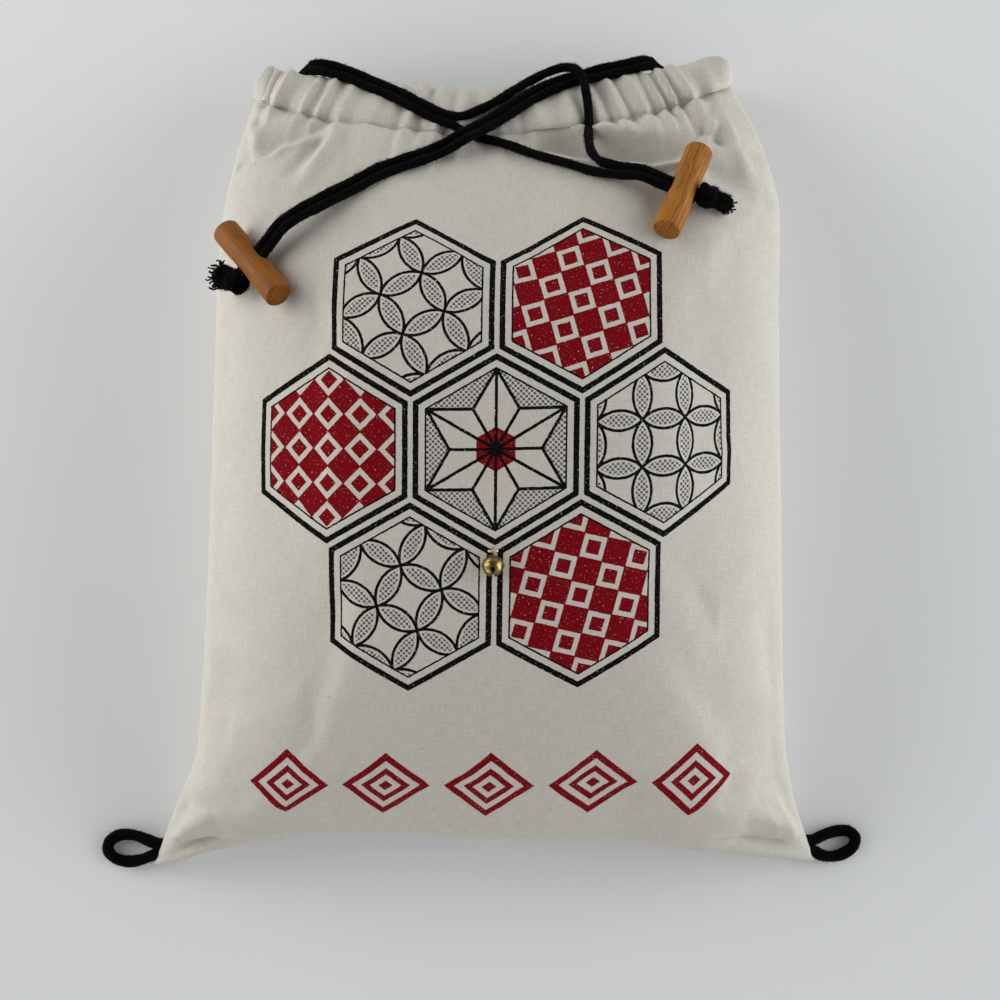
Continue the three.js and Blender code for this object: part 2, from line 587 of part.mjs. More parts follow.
for (const [name, { run, exits, strands }] of Object.entries(cords)) {
  const [first, second] = strands;
  const inside = [...exits[0].reverse(), ...run, ...exits[1]];
  const route = [...first.slice().reverse(), ...inside, ...second];
  const [inMouth, outMouth] = [first.length - 1, first.length + inside.length];
  piece(`${name}_in_casings`, cordGeometry(route, inMouth, outMouth), blackCotton());
  piece(`${name}_strand_a`, cordGeometry(route, 0, inMouth), blackCotton());
  piece(`${name}_strand_b`, cordGeometry(route, outMouth, route.length - 1), blackCotton());
}

// Toggles, each with the knot that stops it and the frayed ends beyond
for (const [side, toggle] of Object.entries({ left: LEFT_TOGGLE, right: RIGHT_TOGGLE })) {
  const { centre, along, slide, normal } = togglePose(toggle);
  placed(piece(`${side}_toggle`, toggleGeometry(), beech()), centre, along, normal);
  const behind = TOGGLE / 2 + 2 * SEAT_GAP + KNOT_LENGTH / 2;
  const knot = centre.clone().addScaledVector(slide, -behind);
  placed(piece(`${side}_toggle_knot`, knotGeometry(), blackCotton()), knot, slide, normal);
  const way = vec(...toggle.tassel).normalize();
  const start = knot.clone().addScaledVector(way, KNOT / 2 + 3 * SEAT_GAP);
  placed(piece(`${side}_toggle_tassel`, tasselGeometry(), blackCotton()), start, way, normal);
}

// Corner loops, from the seam end nearer the mouth round to the other: how far out from the corner,
// how far towards the mouth, and how far above lying flat on the table
const loops = {
  left: [-1, [[3.4, 4.1, 3.7], [11.4, 6.9, 0.9], [18.9, 6.7, 0], [23.8, 3.3, 0], [24.4, -1.5, 0], [20.4, -5.5, 0],
    [13.4, -7.1, 0.2], [6.4, -5.5, 1.7]]],
  right: [1, [[3.6, 4.7, 3.5], [11, 6.9, 0.8], [17.6, 6.9, 0], [21.4, 3.7, 0], [20.4, -0.9, 0], [15.6, -4.7, 0],
    [9.4, -6.5, 0.3], [4, -5.5, 1.7]]],
};
for (const [name, [side, route]] of Object.entries(loops))
  piece(`${name}_corner_loop`, loopGeometry(side, route), blackCotton());

// The bell lies on the cloth with its eye towards the mouth, and swings on the thread through the eye
const eyeCentre = topPoint(...BELL_PLACE).add(vec(0, 0, EYE_LIFT));
const eyeReach = BELL / 2 + SEAT_GAP + EYE_WIRE / 2 + EYE_RADIUS;
const bell = new THREE.Group();
bell.position.copy(eyeCentre);
bell.rotation.x = -Math.asin((BELL / 2 + SEAT_GAP - EYE_LIFT) / eyeReach);
bag.add(bell);
const body = new THREE.Group();
body.position.y = -eyeReach;
bell.add(body);
piece("bell_eye", new THREE.TorusGeometry(EYE_RADIUS, EYE_WIRE / 2, 6, 14).rotateY(Math.PI / 2), brass(), bell);
piece("bell_upper_shell", bellShell(false), brass(), body);
piece("bell_lower_shell", bellShell(true), brass(), body);
const pellet = piece("bell_pellet", new THREE.IcosahedronGeometry(PELLET / 2, 1), brass(), body);
pellet.position.y = -(BELL / 2 - BELL_WALL - PELLET / 2 - SEAT_GAP);
piece("bell_thread", threadGeometry(), paleThread()).position.copy(eyeCentre);

export default bag;
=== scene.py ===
# %% [markdown]
# # A filled drawstring bag, seen from above
# The object is a cotton canvas bag, stuffed and lying on its back. Two black cords run through the casings
# at its mouth, and each ends in a wooden toggle. A brass bell hangs on the front, and each bottom corner
# has a small loop of the same cord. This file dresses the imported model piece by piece.

import math
import random

import bmesh
import bpy
import numpy as np
from mathutils import Matrix, Vector, noise


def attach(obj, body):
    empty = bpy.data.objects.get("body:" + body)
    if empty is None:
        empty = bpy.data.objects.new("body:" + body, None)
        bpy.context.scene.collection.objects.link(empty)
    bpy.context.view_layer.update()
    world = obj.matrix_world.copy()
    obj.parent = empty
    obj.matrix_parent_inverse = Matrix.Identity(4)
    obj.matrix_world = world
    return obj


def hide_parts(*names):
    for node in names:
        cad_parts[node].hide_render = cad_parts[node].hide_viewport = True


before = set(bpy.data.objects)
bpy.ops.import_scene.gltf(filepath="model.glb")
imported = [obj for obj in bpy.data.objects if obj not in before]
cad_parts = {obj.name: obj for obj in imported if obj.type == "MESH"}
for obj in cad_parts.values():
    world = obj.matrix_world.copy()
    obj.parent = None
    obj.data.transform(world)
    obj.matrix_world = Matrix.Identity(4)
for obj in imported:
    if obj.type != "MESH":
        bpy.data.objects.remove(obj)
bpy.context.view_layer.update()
MM = 0.001

# %% [markdown]
# ## The camera
# The photograph was taken from straight above, about a metre over the table, with the mouth at the top.
# A camera that looks down its own -Z needs no turn at all for that, so only its place and lens are set.
# The lens is the one that gives a bag of this size in a square picture.

# %% Place the camera
CAMERA_PLACE = (9.15, -16, 1000)
FOCAL_LENGTH = 68.87
camera_data = bpy.data.cameras.new("camera")
camera_data.sensor_width = 36
camera_data.lens = FOCAL_LENGTH
camera = bpy.data.objects.new("camera", camera_data)
camera.location = [c * MM for c in CAMERA_PLACE]
bpy.context.collection.objects.link(camera)
bpy.context.scene.camera = camera
print("camera", [round(c, 3) for c in camera.location])

# %% [markdown]
# ## Helpers for colours and materials
# Colours are written as the hex values that a picture shows, and the shaders want linear light, so one
# function turns them. A second one fills a node's inputs, and a third adds a shader node, sets it and
# fills it, whatever its kind. A node that stands as an input means its first output in use.

# %% Colour and node helpers
def linear(code):
    """An sRGB hex colour as linear RGBA."""
    channels = [int(code[i : i + 2], 16) / 255 for i in (1, 3, 5)]
    return [c / 12.92 if c <= 0.04045 else ((c + 0.055) / 1.055) ** 2.4 for c in channels] + [1]


def fill(tree, node, inputs):
    """Fills inputs, by name or in their order, with numbers, hex colours, nodes or outputs of nodes."""
    for key, value in inputs.items() if isinstance(inputs, dict) else enumerate(inputs):
        if isinstance(value, bpy.types.Node):
            value = next(output for output in value.outputs if output.enabled)
        if isinstance(value, bpy.types.NodeSocket):
            tree.links.new(value, node.inputs[key])
        else:
            node.inputs[key].default_value = linear(value) if isinstance(value, str) else value


def add(tree, kind, inputs=(), **settings):
    """Adds a shader node with its settings and inputs."""
    node = tree.nodes.new("ShaderNode" + kind)
    for key, value in settings.items():
        setattr(node, key, value)
    fill(tree, node, inputs)
    return node


def new_material(name):
    """An empty material with its shader, joined to the output."""
    material = bpy.data.materials.new(name)
    material.use_nodes = True
    tree = material.node_tree
    tree.nodes.clear()
    shader = add(tree, "BsdfPrincipled")
    add(tree, "OutputMaterial", {"Surface": shader})
    return material, tree, shader


print("white in linear light", linear("#ffffff")[:3])

# %% [markdown]
# ## Cord of soft black cotton
# The cord is a 4 mm braid of dyed cotton with a hairy surface. It drinks up light, so it is nearly black
# with no shine, and a thin sheen stands for the fluff that catches light at its edges. The braid's strands
# cross the cord on a slant. UVs that run round and along the tube in millimetres carry that slant.

# %% The black cotton material
def black_cotton():
    """Dyed cotton braid: matt, nearly black, with the slanting strands of the braid as a bump."""
    material, tree, shader = new_material("black_cotton_braid")
    place = add(tree, "UVMap", uv_map="along")
    lanes = add(tree, "SeparateXYZ", [place])
    waves = []
    for lean in (1.9, -1.9):
        slant = add(tree, "Math", [lanes.outputs[1], lean, lanes], operation="MULTIPLY_ADD")
        rate = add(tree, "Math", [slant, 1.6], operation="MULTIPLY")
        waves.append(add(tree, "Math", [rate], operation="SINE"))
    strands = add(tree, "Math", waves, operation="MAXIMUM")
    fluff = add(tree, "TexNoise", {"Vector": place, "Scale": 3.2, "Detail": 4})
    height = add(tree, "Math", [strands, 0.5, fluff], operation="MULTIPLY_ADD")
    bump = add(tree, "Bump", {"Height": height, "Strength": 0.7, "Distance": 0.4 * MM})
    colour = add(tree, "Mix", {0: fluff, 6: "#030304", 7: "#0b0b0c"}, data_type="RGBA")
    fill(tree, shader, {"Base Color": colour, "Normal": bump, "Roughness": 1.0, "Specular IOR Level": 0.06,
                        "Sheen Weight": 0.015})
    return material


cotton = black_cotton()
print(cotton.name, len(cotton.node_tree.nodes), "nodes")

# %% [markdown]
# ## Drawing a cord
# A cord is a round section pulled along a smooth line. The line goes through the points of the route, as
# a thin wooden spline would. The section is a bmesh circle that is extruded once for each small step, and
# each new ring is turned with the line so that the tube doesn't twist. Every vertex remembers how far
# round and how far along the cord it is, for the braid.

# %% Smooth lines
def distances(line):
    """How far along a line each of its points is."""
    return np.r_[0, np.cumsum(np.linalg.norm(np.diff(line, axis=0), axis=1))]


def read_at(places, far, rows):
    """Rows that belong to the distances far, read at other places between them."""
    return np.stack([np.interp(places, far, column) for column in rows.T], axis=1)


def smooth_line(points, step):
    """Even points along a centripetal Catmull-Rom curve through the points, in millimetres."""
    p = [np.array(q, float) for q in points]
    p = [2 * p[0] - p[1]] + p + [2 * p[-1] - p[-2]]
    line = []
    for a, b, c, d in zip(p, p[1:], p[2:], p[3:]):
        k = [0.0]
        for q, r in ((a, b), (b, c), (c, d)):
            k.append(k[-1] + max(np.linalg.norm(r - q), 1e-6) ** 0.5)
        for t in np.linspace(k[1], k[2], 24, endpoint=False):
            ab = a + (b - a) * (t - k[0]) / (k[1] - k[0])
            bc = b + (c - b) * (t - k[1]) / (k[2] - k[1])
            cd = c + (d - c) * (t - k[2]) / (k[3] - k[2])
            abc = ab + (bc - ab) * (t - k[0]) / (k[2] - k[0])
            bcd = bc + (cd - bc) * (t - k[1]) / (k[3] - k[1])
            line.append(abc + (bcd - abc) * (t - k[1]) / (k[2] - k[1]))
    line = np.array(line + [p[-2]])
    far = distances(line)
    return read_at(np.linspace(0, far[-1], max(int(far[-1] / step), 2) + 1), far, line)


def frames_along(line):
    """A tangent and two cross directions at each point, carried along without twist."""
    tangents = np.gradient(line, axis=0)
    tangents /= np.linalg.norm(tangents, axis=1)[:, None]
    side = np.cross(tangents[0], [0, 0, 1] if abs(tangents[0][2]) < 0.9 else [1, 0, 0])
    sides = []
    for tangent in tangents:
        side = side - tangent * side.dot(tangent)
        side = side / np.linalg.norm(side)
        sides.append(side)
    sides = np.array(sides)
    return tangents, sides, np.cross(tangents, sides)


print("a test line of 30 mm has", len(smooth_line([(0, 0, 0), (10, 3, 0), (30, 0, 0)], 1.5)), "points")


# %% Tubes
def tube(bm, line, radius, sides=16, flat=1.0, seed=1, lumps=0.04, taper=None):
    """Pulls a round section along a line. flat squeezes it, lumps make it uneven like soft cord."""
    uv = bm.loops.layers.uv.get("along") or bm.loops.layers.uv.new("along")
    chance = random.Random(seed)
    phases = [chance.uniform(0, 6.28) for _ in range(4)]
    _, across, up = frames_along(line)
    far = distances(line)
    rings = [bmesh.ops.create_circle(bm, segments=sides, radius=radius, cap_ends=False)["verts"]]
    edges = list(dict.fromkeys(e for v in rings[0] for e in v.link_edges))
    for _ in range(len(line) - 1):
        made = bmesh.ops.extrude_edge_only(bm, edges=edges)["geom"]
        last, new = set(rings[-1]), {g for g in made if isinstance(g, bmesh.types.BMVert)}
        grown = {next(e.other_vert(v) for e in v.link_edges if e.other_vert(v) in last): v for v in new}
        rings.append([grown[v] for v in rings[-1]])
        edges = [g for g in made if isinstance(g, bmesh.types.BMEdge) and new.issuperset(g.verts)]
    place = {}
    for k, verts in enumerate(rings):
        waves = math.sin(far[k] / 2.3 + phases[0]) + 0.6 * math.sin(far[k] / 0.9 + phases[1])
        swell = 1 + lumps * waves / 1.6
        if taper:
            swell *= taper(far[k] / far[-1])
        for i, v in enumerate(verts):
            angle = 2 * math.pi * i / sides
            r = radius * swell * (1 + lumps * math.sin(2 * angle + far[k] / 3.1 + phases[2]))
            v.co = line[k] + across[k] * r * math.cos(angle) + up[k] * r * flat * math.sin(angle)
            place[v] = (i, far[k])
    girth = 2 * math.pi * radius
    for face in {f for v in place for f in v.link_faces}:
        columns = [place[loop.vert][0] for loop in face.loops]
        wrap = max(columns) - min(columns) > 1
        for loop in face.loops:
            i, along = place[loop.vert]
            loop[uv].uv = ((i + (sides if wrap and i == 0 else 0)) / sides * girth, along)
    for verts in (rings[0], rings[-1]):
        for loop in bm.faces.new(verts).loops:
            i, along = place[loop.vert]
            loop[uv].uv = (i / sides * girth, along)


trial = bmesh.new()
tube(trial, smooth_line([(0, 0, 0), (10, 3, 0), (30, 0, 0)], 1.5), 2)
print("a tube along it has", len(trial.faces), "faces")
trial.free()


# %% Finished pieces
def as_object(name, bm):
    """A bmesh as an object in the scene."""
    mesh = bpy.data.meshes.new(name)
    bm.to_mesh(mesh)
    bm.free()
    obj = bpy.data.objects.new(name, mesh)
    bpy.context.collection.objects.link(obj)
    return obj


def piece(name, bm, body, material, replaced=()):
    """Ends a bmesh drawn in millimetres as one piece of the scene."""
    bmesh.ops.recalc_face_normals(bm, faces=bm.faces)
    bmesh.ops.scale(bm, vec=(MM, MM, MM), verts=bm.verts)
    obj = as_object(name, bm)
    obj.data.shade_smooth()
    obj.data.materials.append(material)
    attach(obj, body)
    if replaced:
        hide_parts(*replaced)
    return obj


def cord_piece(name, bm, body, node):
    """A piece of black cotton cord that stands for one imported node."""
    return piece(name, bm, body, cotton, [node])


print("pieces are drawn in millimetres and end in metres, times", MM)

# %% [markdown]
# ## Many small things
# Hairs and stitches come by the hundred. One is drawn with a few faces, and then all that there is gets
# doubled until there are enough, which is quick. Each copy keeps its number, and every vertex keeps its
# place in the one that was drawn, so a small rule can put each copy where it belongs.

# %% Copies by doubling
def many(bm, count):
    """Doubles what a bmesh holds until there are count copies, and numbers them in a layer."""
    number = bm.verts.layers.int.new("copy")
    made = 1
    while made < count:
        take = min(made, count - made)
        verts = [v for v in bm.verts if v[number] < take]
        edges = [e for e in bm.edges if e.verts[0][number] < take]
        faces = [f for f in bm.faces if f.verts[0][number] < take]
        copies = bmesh.ops.duplicate(bm, geom=verts + edges + faces)["geom"]
        for v in copies:
            if isinstance(v, bmesh.types.BMVert):
                v[number] += made
        made += take
    return number


trial = bmesh.new()
trial.verts.new((0, 0, 0))
many(trial, 5)
print("one vertex has become", len(trial.verts))
trial.free()


# %% One hair
def one_hair():
    """A thin closed spike of unit length along z, with two rings on the way."""
    bm = bmesh.new()
    bmesh.ops.create_cone(bm, cap_ends=True, segments=3, radius1=1, radius2=0.35, depth=1)
    bmesh.ops.translate(bm, vec=(0, 0, 0.5), verts=bm.verts)
    for cut in (0.35, 0.7):
        everything = bm.verts[:] + bm.edges[:] + bm.faces[:]
        bmesh.ops.bisect_plane(bm, geom=everything, plane_co=(0, 0, cut), plane_no=(0, 0, 1))
    return bm


trial = one_hair()
print("one hair has", len(trial.verts), "vertices and", len(trial.faces), "faces")
trial.free()


# %% Hairs on a cord
FLUFF, WISPS = (1.4, 0.2), (2.3, 0.12)


def add_hairs(bm, line, radius, count, seed, reach, thick):
    """Hairs that leave a cord all round and lean along it."""
    chance = np.random.default_rng(seed)
    tangents, across, up = frames_along(line)
    at = chance.uniform(0, len(line) - 1, count).astype(int)
    turn = chance.uniform(0, 2 * math.pi, count)
    out = across[at] * np.cos(turn)[:, None] + up[at] * np.sin(turn)[:, None]
    side = np.cross(tangents[at], out)
    lift = reach * chance.beta(1.4, 2.6, count)
    drift = chance.uniform(-2.6, 2.6, count)
    curl = chance.uniform(-1.1, 1.1, count)
    hairs = one_hair()
    number = many(hairs, count)
    for v in hairs.verts:
        n, (x, y, z) = v[number], v.co
        way = tangents[at[n]] * drift[n] * z + side[n] * curl[n] * z * z
        far = radius * 0.94 + lift[n] * math.sin(z * 1.9)
        v.co = line[at[n]] + way + out[n] * far + tangents[at[n]] * x * thick + side[n] * y * thick
    mesh = bpy.data.meshes.new("hairs")
    hairs.to_mesh(mesh)
    hairs.free()
    bm.from_mesh(mesh)
    bpy.data.meshes.remove(mesh)


def add_fuzz(bm, line, radius, counts, seeds):
    """Short thick fluff close to the cord, and fewer, finer hairs that stand off it."""
    add_hairs(bm, line, radius, counts[0], seeds[0], *FLUFF)
    add_hairs(bm, line, radius, counts[1], seeds[1], *WISPS)


print("fluff reaches", FLUFF[0], "mm and wisps", WISPS[0], "mm")

# %% [markdown]
# ## The four free strands
# Each toggle hangs on two strands of one cord. They leave the mouth at its far side, lie over the casing
# and the front, cross the other pair, and run straight through the toggle's hole to the knot. The routes
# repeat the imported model's, in millimetres, because a cord has to lie where its solid lies.

# %% Routes of the strands
ROUTES = {
    "left_toggle_cord_strand_a": [
        (84.2, 203.1, 34.7), (79.8, 201.8, 37.4), (72.6, 199.5, 39.2), (60.0, 196.4, 41.1),
        (47.2, 193.3, 43.3), (36.6, 188.9, 46.2), (22.2, 180.4, 51.6), (10.7, 171.6, 58.0),
        (0.6, 164.4, 65.5), (-7.2, 159.5, 70.9), (-18.0, 152.8, 72.4), (-33.1, 146.2, 77.3),
        (-47.0, 140.4, 81.6), (-59.9, 132.5, 86.8), (-73.9, 124.3, 92.8), (-91.9, 113.2, 97.4),
        (-98.1, 106.1, 95.2), (-107.5, 95.4, 91.9), (-112.0, 90.3, 90.3)],
    "left_toggle_cord_strand_b": [
        (85.8, 206.6, 29.6), (81.0, 206.1, 34.4), (73.0, 203.9, 36.8), (60.4, 201.1, 37.7),
        (48.8, 197.6, 38.7), (34.4, 192.7, 42.8), (19.8, 184.0, 49.1), (8.1, 175.2, 56.3),
        (-1.8, 168.0, 62.1), (-9.6, 163.3, 66.8), (-20.0, 156.8, 68.4), (-34.9, 150.2, 73.6),
        (-49.0, 144.4, 78.3), (-62.1, 136.3, 84.0), (-76.1, 128.1, 90.3), (-94.3, 116.0, 95.1),
        (-100.6, 108.9, 92.9), (-109.9, 98.3, 89.7), (-114.5, 93.1, 88.1)],
    "right_toggle_cord_strand_a": [
        (-86.4, 200.8, 33.4), (-82.2, 200.0, 37.2), (-75.6, 198.2, 38.8), (-67.6, 195.8, 40.1),
        (-61.6, 192.6, 42.8), (-56.4, 190.2, 44.4), (-44.8, 184.7, 48.3), (-33.4, 178.1, 52.4),
        (-22.7, 172.0, 55.8), (-14.6, 169.0, 57.0), (-7.4, 164.6, 57.8), (0.6, 161.6, 61.4),
        (11.0, 158.2, 65.6), (25.2, 151.8, 72.9), (41.0, 146.3, 78.8), (54.0, 141.4, 84.1),
        (65.0, 139.0, 89.4), (76.7, 137.3, 92.8), (84.1, 134.2, 92.9), (95.3, 129.4, 93.0),
        (101.8, 126.6, 93.1)],
    "right_toggle_cord_strand_b": [
        (-86.4, 204.8, 29.0), (-82.0, 204.5, 34.6), (-75.2, 202.7, 37.0), (-64.6, 199.2, 37.9),
        (-54.6, 194.2, 40.7), (-42.8, 188.5, 45.4), (-31.2, 181.9, 50.1), (-20.5, 175.8, 53.8),
        (-10.6, 173.4, 55.3), (-0.7, 177.4, 53.0), (9.0, 183.0, 49.5), (17.0, 189.0, 45.3),
        (25.7, 195.3, 38.6), (34.6, 199.6, 38.2), (42.6, 201.0, 40.7), (48.0, 198.4, 44.9),
        (50.6, 193.1, 47.7), (51.9, 185.6, 51.5), (52.8, 176.6, 54.7), (52.8, 168.0, 57.8),
        (52.4, 159.4, 67.0), (53.6, 152.2, 74.5), (57.6, 146.8, 80.6), (66.2, 143.6, 86.3),
        (78.2, 140.9, 90.6), (85.7, 137.7, 90.8), (96.8, 132.9, 90.9), (103.3, 130.1, 91.0)],
}
CORD = 4.0
LINES = {name: smooth_line(route, 1.5) for name, route in ROUTES.items()}
CORD_LENGTHS = {name: float(distances(line)[-1]) for name, line in LINES.items()}
print({name: round(length, 1) for name, length in CORD_LENGTHS.items()})

# %% Draw the strands
SKIN = 0.2
HAIRS_PER_MM = (11, 4)
strands = {}
for seed, (name, line) in enumerate(LINES.items()):
    bm = bmesh.new()
    tube(bm, line, CORD / 2 + SKIN, seed=seed, lumps=0.05)
    counts = [int(hairs * CORD_LENGTHS[name]) for hairs in HAIRS_PER_MM]
    add_fuzz(bm, line, CORD / 2, counts, (20 + seed, 40 + seed))
    strands[name] = cord_piece(name + "_cotton", bm, "bag", name)
print(len(strands), "strands")

# %% [markdown]
# ## The runs inside the casings
# Between its two strands each cord goes once round the mouth, through the front casing and back through
# the other one. It shows only at the slits, but a bag without it would hang empty there.

# %% Draw the runs inside the casings
RUNS = {
    "left_toggle_cord_in_casings": [
        (84.2, 203.1, 34.7), (89.3, 202.1, 29.6), (96.0, 199.8, 25.6), (104.4, 197.2, 26.3),
        (111.4, 195.1, 26.0), (115.7, 194.5, 27.1), (118.0, 193.9, 30.2), (117.8, 193.4, 34.0),
        (115.4, 193.1, 36.6), (112.0, 192.8, 37.2), (84.0, 184.5, 43.5), (46.5, 177.4, 46.9),
        (7.6, 174.3, 47.6), (-31.6, 175.1, 46.8), (-70.3, 180.0, 43.5), (-100.0, 186.6, 37.1),
        (-105.5, 188.7, 35.2), (-109.5, 190.0, 30.1), (-110.9, 190.1, 23.1), (-109.3, 189.0, 16.1),
        (-105.3, 186.9, 10.9), (-99.8, 184.5, 9.1), (-70.1, 178.1, 5.6), (-31.5, 173.6, 4.5),
        (7.7, 172.8, 4.4), (46.6, 175.7, 4.5), (84.1, 182.3, 5.6), (111.8, 190.3, 9.1), (115.2, 191.7, 9.7),
        (117.4, 192.9, 12.2), (117.6, 193.5, 15.9), (115.3, 194.1, 19.0), (111.1, 194.7, 20.1),
        (104.4, 197.3, 20.1), (96.4, 201.3, 20.1), (90.0, 204.6, 23.6), (85.8, 206.6, 29.6)],
    "right_toggle_cord_in_casings": [
        (-86.4, 200.8, 33.4), (-90.2, 200.4, 28.4), (-94.8, 199.2, 24.0), (-101.8, 197.1, 23.7),
        (-106.1, 196.5, 24.8), (-108.4, 195.9, 27.6), (-108.2, 195.4, 31.1), (-105.8, 195.1, 33.6),
        (-102.4, 194.8, 34.1), (-71.6, 187.6, 38.9), (-32.7, 182.6, 41.9), (6.5, 181.7, 42.6),
        (45.4, 184.8, 41.8), (83.5, 192.1, 38.8), (113.3, 201.2, 34.0), (118.4, 201.0, 32.3),
        (122.2, 200.6, 27.5), (123.6, 200.1, 21.0), (122.3, 199.6, 14.5), (118.6, 199.2, 9.8),
        (113.5, 199.0, 8.0), (83.4, 191.2, 6.2), (45.2, 184.6, 5.2), (6.3, 181.7, 5.0), (-32.8, 182.5, 5.2),
        (-71.8, 186.9, 6.2), (-102.7, 193.0, 8.1), (-106.1, 194.4, 8.6), (-108.3, 195.6, 11.0),
        (-108.5, 196.2, 14.4), (-106.2, 196.8, 17.2), (-102.0, 197.4, 18.3), (-95.3, 200.0, 18.3),
        (-90.4, 202.9, 22.7), (-86.4, 204.8, 29.0)],
}
for seed, (name, route) in enumerate(RUNS.items()):
    bm = bmesh.new()
    tube(bm, smooth_line(route, 2.5), CORD / 2 - 0.1, sides=10, seed=10 + seed)
    cord_piece(name + "_cotton", bm, "bag", name)
print(len(RUNS), "runs")

# %% [markdown]
# ## The shape of the filled bag
# A filled bag of soft cloth is a pillow. Its side seams hang at half height, its bottom corners are pulled
# flat into small ears, and the front falls towards the gathered mouth. A formula for each of these gives
# the height at any place, from a share s across the bag and a distance y along it, so the cloth can be
# drawn as finely as its folds need.

# %% Sizes of the cloth
SEAT_GAP = 0.3
CLOTH = 1.2
CROWN_HEIGHT, SEAM_HEIGHT, MOUTH_SEAM_HEIGHT, BOTTOM_SEAM_HEIGHT, EAR_HEIGHT = 121, 52, 21, 50, 6
MOUTH_DROP, BOTTOM_ROUND, BACK_ROUND, BACK_PRESS, MOUTH_LIFT = 35, 130, 70, 1.05, 3.4
LEFT_SEAM = [
    (-206, -171), (-169, -155.5), (-141, -144), (-66, -136.5), (40, -132.2), (110, -130.5), (150, -125),
    (187, -116.5)]
RIGHT_SEAM = [
    (-204, 173), (-164, 158.5), (-130, 152.5), (-60, 149.2), (70, 147.2), (125, 148.5), (160, 141.5),
    (195, 127)]
BOTTOM_SEAM, STITCH_LINE = (-187, 1, -18), (164, 4, 27)
FRONT_EDGE = {"line": (191.5, 3.5, 18), "height": 36, "droop": 6}
BACK_EDGE = {"line": (190, 3, 14), "height": 5.5, "droop": -3}
EDGE_CENTRE, EDGE_REACH, EDGE_SHARES = 5, 130, (0.915, 0.935)
CASING_HALF_THICKNESS, CASING_CLEAR, CORNER_DROP = 4.2, 0.5, 9.0
print("crown", CROWN_HEIGHT, "mm over the table")


# %% Smooth lines through a few values
def smooth_through(pairs):
    """A smooth line through (place, value) pairs that never overshoots them."""
    at, value = np.array(pairs, float).T
    slopes = np.diff(value) / np.diff(at)
    before, after = np.r_[slopes[:1], slopes], np.r_[slopes, slopes[-1:]]
    total = np.where(before + after == 0, 1, before + after)
    tangents = np.where(before * after > 0, 2 * before * after / total, 0)

    def line(where):
        where = np.clip(where, at[0], at[-1])
        i = np.clip(np.searchsorted(at, where) - 1, 0, len(at) - 2)
        length = at[i + 1] - at[i]
        t = (where - at[i]) / length
        return (value[i] * (1 + 2 * t) * (1 - t) ** 2 + tangents[i] * length * t * (1 - t) ** 2
                + value[i + 1] * t * t * (3 - 2 * t) + tangents[i + 1] * length * t * t * (t - 1))

    return line


left_seam, right_seam = smooth_through(LEFT_SEAM), smooth_through(RIGHT_SEAM)
print("the bag is", round(float(right_seam(0) - left_seam(0))), "mm wide at its middle")


# %% Shares of the bag and its seams
def bend(line, s):
    return line[0] + line[1] * s + line[2] * s * s


def middle_of(y):
    return (left_seam(y) + right_seam(y)) / 2


def half_of(y):
    return (right_seam(y) - left_seam(y)) / 2


def swell(share):
    return (1 - (1 - np.clip(share, 0, 1)) ** 2) ** 0.6


def seam_height(s, t):
    rise = (1 - (1 - t) ** 6) ** 1.5
    side = EAR_HEIGHT + (SEAM_HEIGHT - EAR_HEIGHT) * rise - (SEAM_HEIGHT - MOUTH_SEAM_HEIGHT) * t**8
    return side + (BOTTOM_SEAM_HEIGHT - EAR_HEIGHT) * np.maximum(1 - s * s, 0) ** 0.9 * (1 - t) ** 6


def share_along(s, y):
    return np.clip((y - bend(BOTTOM_SEAM, s)) / (bend(STITCH_LINE, s) - bend(BOTTOM_SEAM, s)), 0, 1)


print("the side seam hangs at", round(float(seam_height(1, 0.5)), 1), "mm")


# %% Height of the cloth
def front_height(s, y):
    fall = np.clip((y - 20) / (bend(STITCH_LINE, s) - 20), 0, 1) ** 2.2
    full = swell((y - bend(BOTTOM_SEAM, s)) / BOTTOM_ROUND)
    bulge = (CROWN_HEIGHT - SEAM_HEIGHT) * full - MOUTH_DROP * fall
    across = np.maximum(1 - np.abs(s) ** 2.4, 0) ** 0.55
    return seam_height(s, share_along(s, y)) + SEAT_GAP / 2 + bulge * across


def back_height(s, y):
    t = share_along(s, y)
    press = BACK_PRESS + (1 - BACK_PRESS) * np.clip((t - 0.85) / 0.15, 0, 1)
    depth = seam_height(0, t) * press - MOUTH_LIFT * np.clip((t - 0.9) / 0.1, 0, 1)
    hang = depth * np.maximum(1 - s**4, 0) ** 0.6 * swell((y - bend(BOTTOM_SEAM, s)) / BACK_ROUND)
    return np.maximum(seam_height(s, t) - SEAT_GAP / 2 - hang, 0)


print("height at the middle", round(float(front_height(0.0, 7.0)), 1), "mm")

# %% [markdown]
# ## From heights to cloth
# One sheet makes the whole front. It starts at the bottom seam, goes over the front, up the outside of the
# casing, round the mouth's edge and down the casing's inner side, as the real hem does. A bmesh grid has
# the rows and columns of that sheet, and each of its vertices is moved to its place. The distances along
# the cloth become its UVs in millimetres, so that threads and print follow it like real cloth.

# %% Lay out a panel with its casing
UPWARDS = np.array([0.0, 0.0, 1.0])
TUCK_REACH = 34
tucked = smooth_through([
    (-1, 0), (-0.94, 0.3), (-0.86, 3), (-0.76, 6), (-0.66, 7.5), (-0.56, 8.6), (-0.41, 7.2), (-0.27, 5.8),
    (-0.11, 4), (0.1, 3), (0.28, 3.2), (0.42, 4), (0.58, 1.4), (0.8, 0.2), (1, 0)])


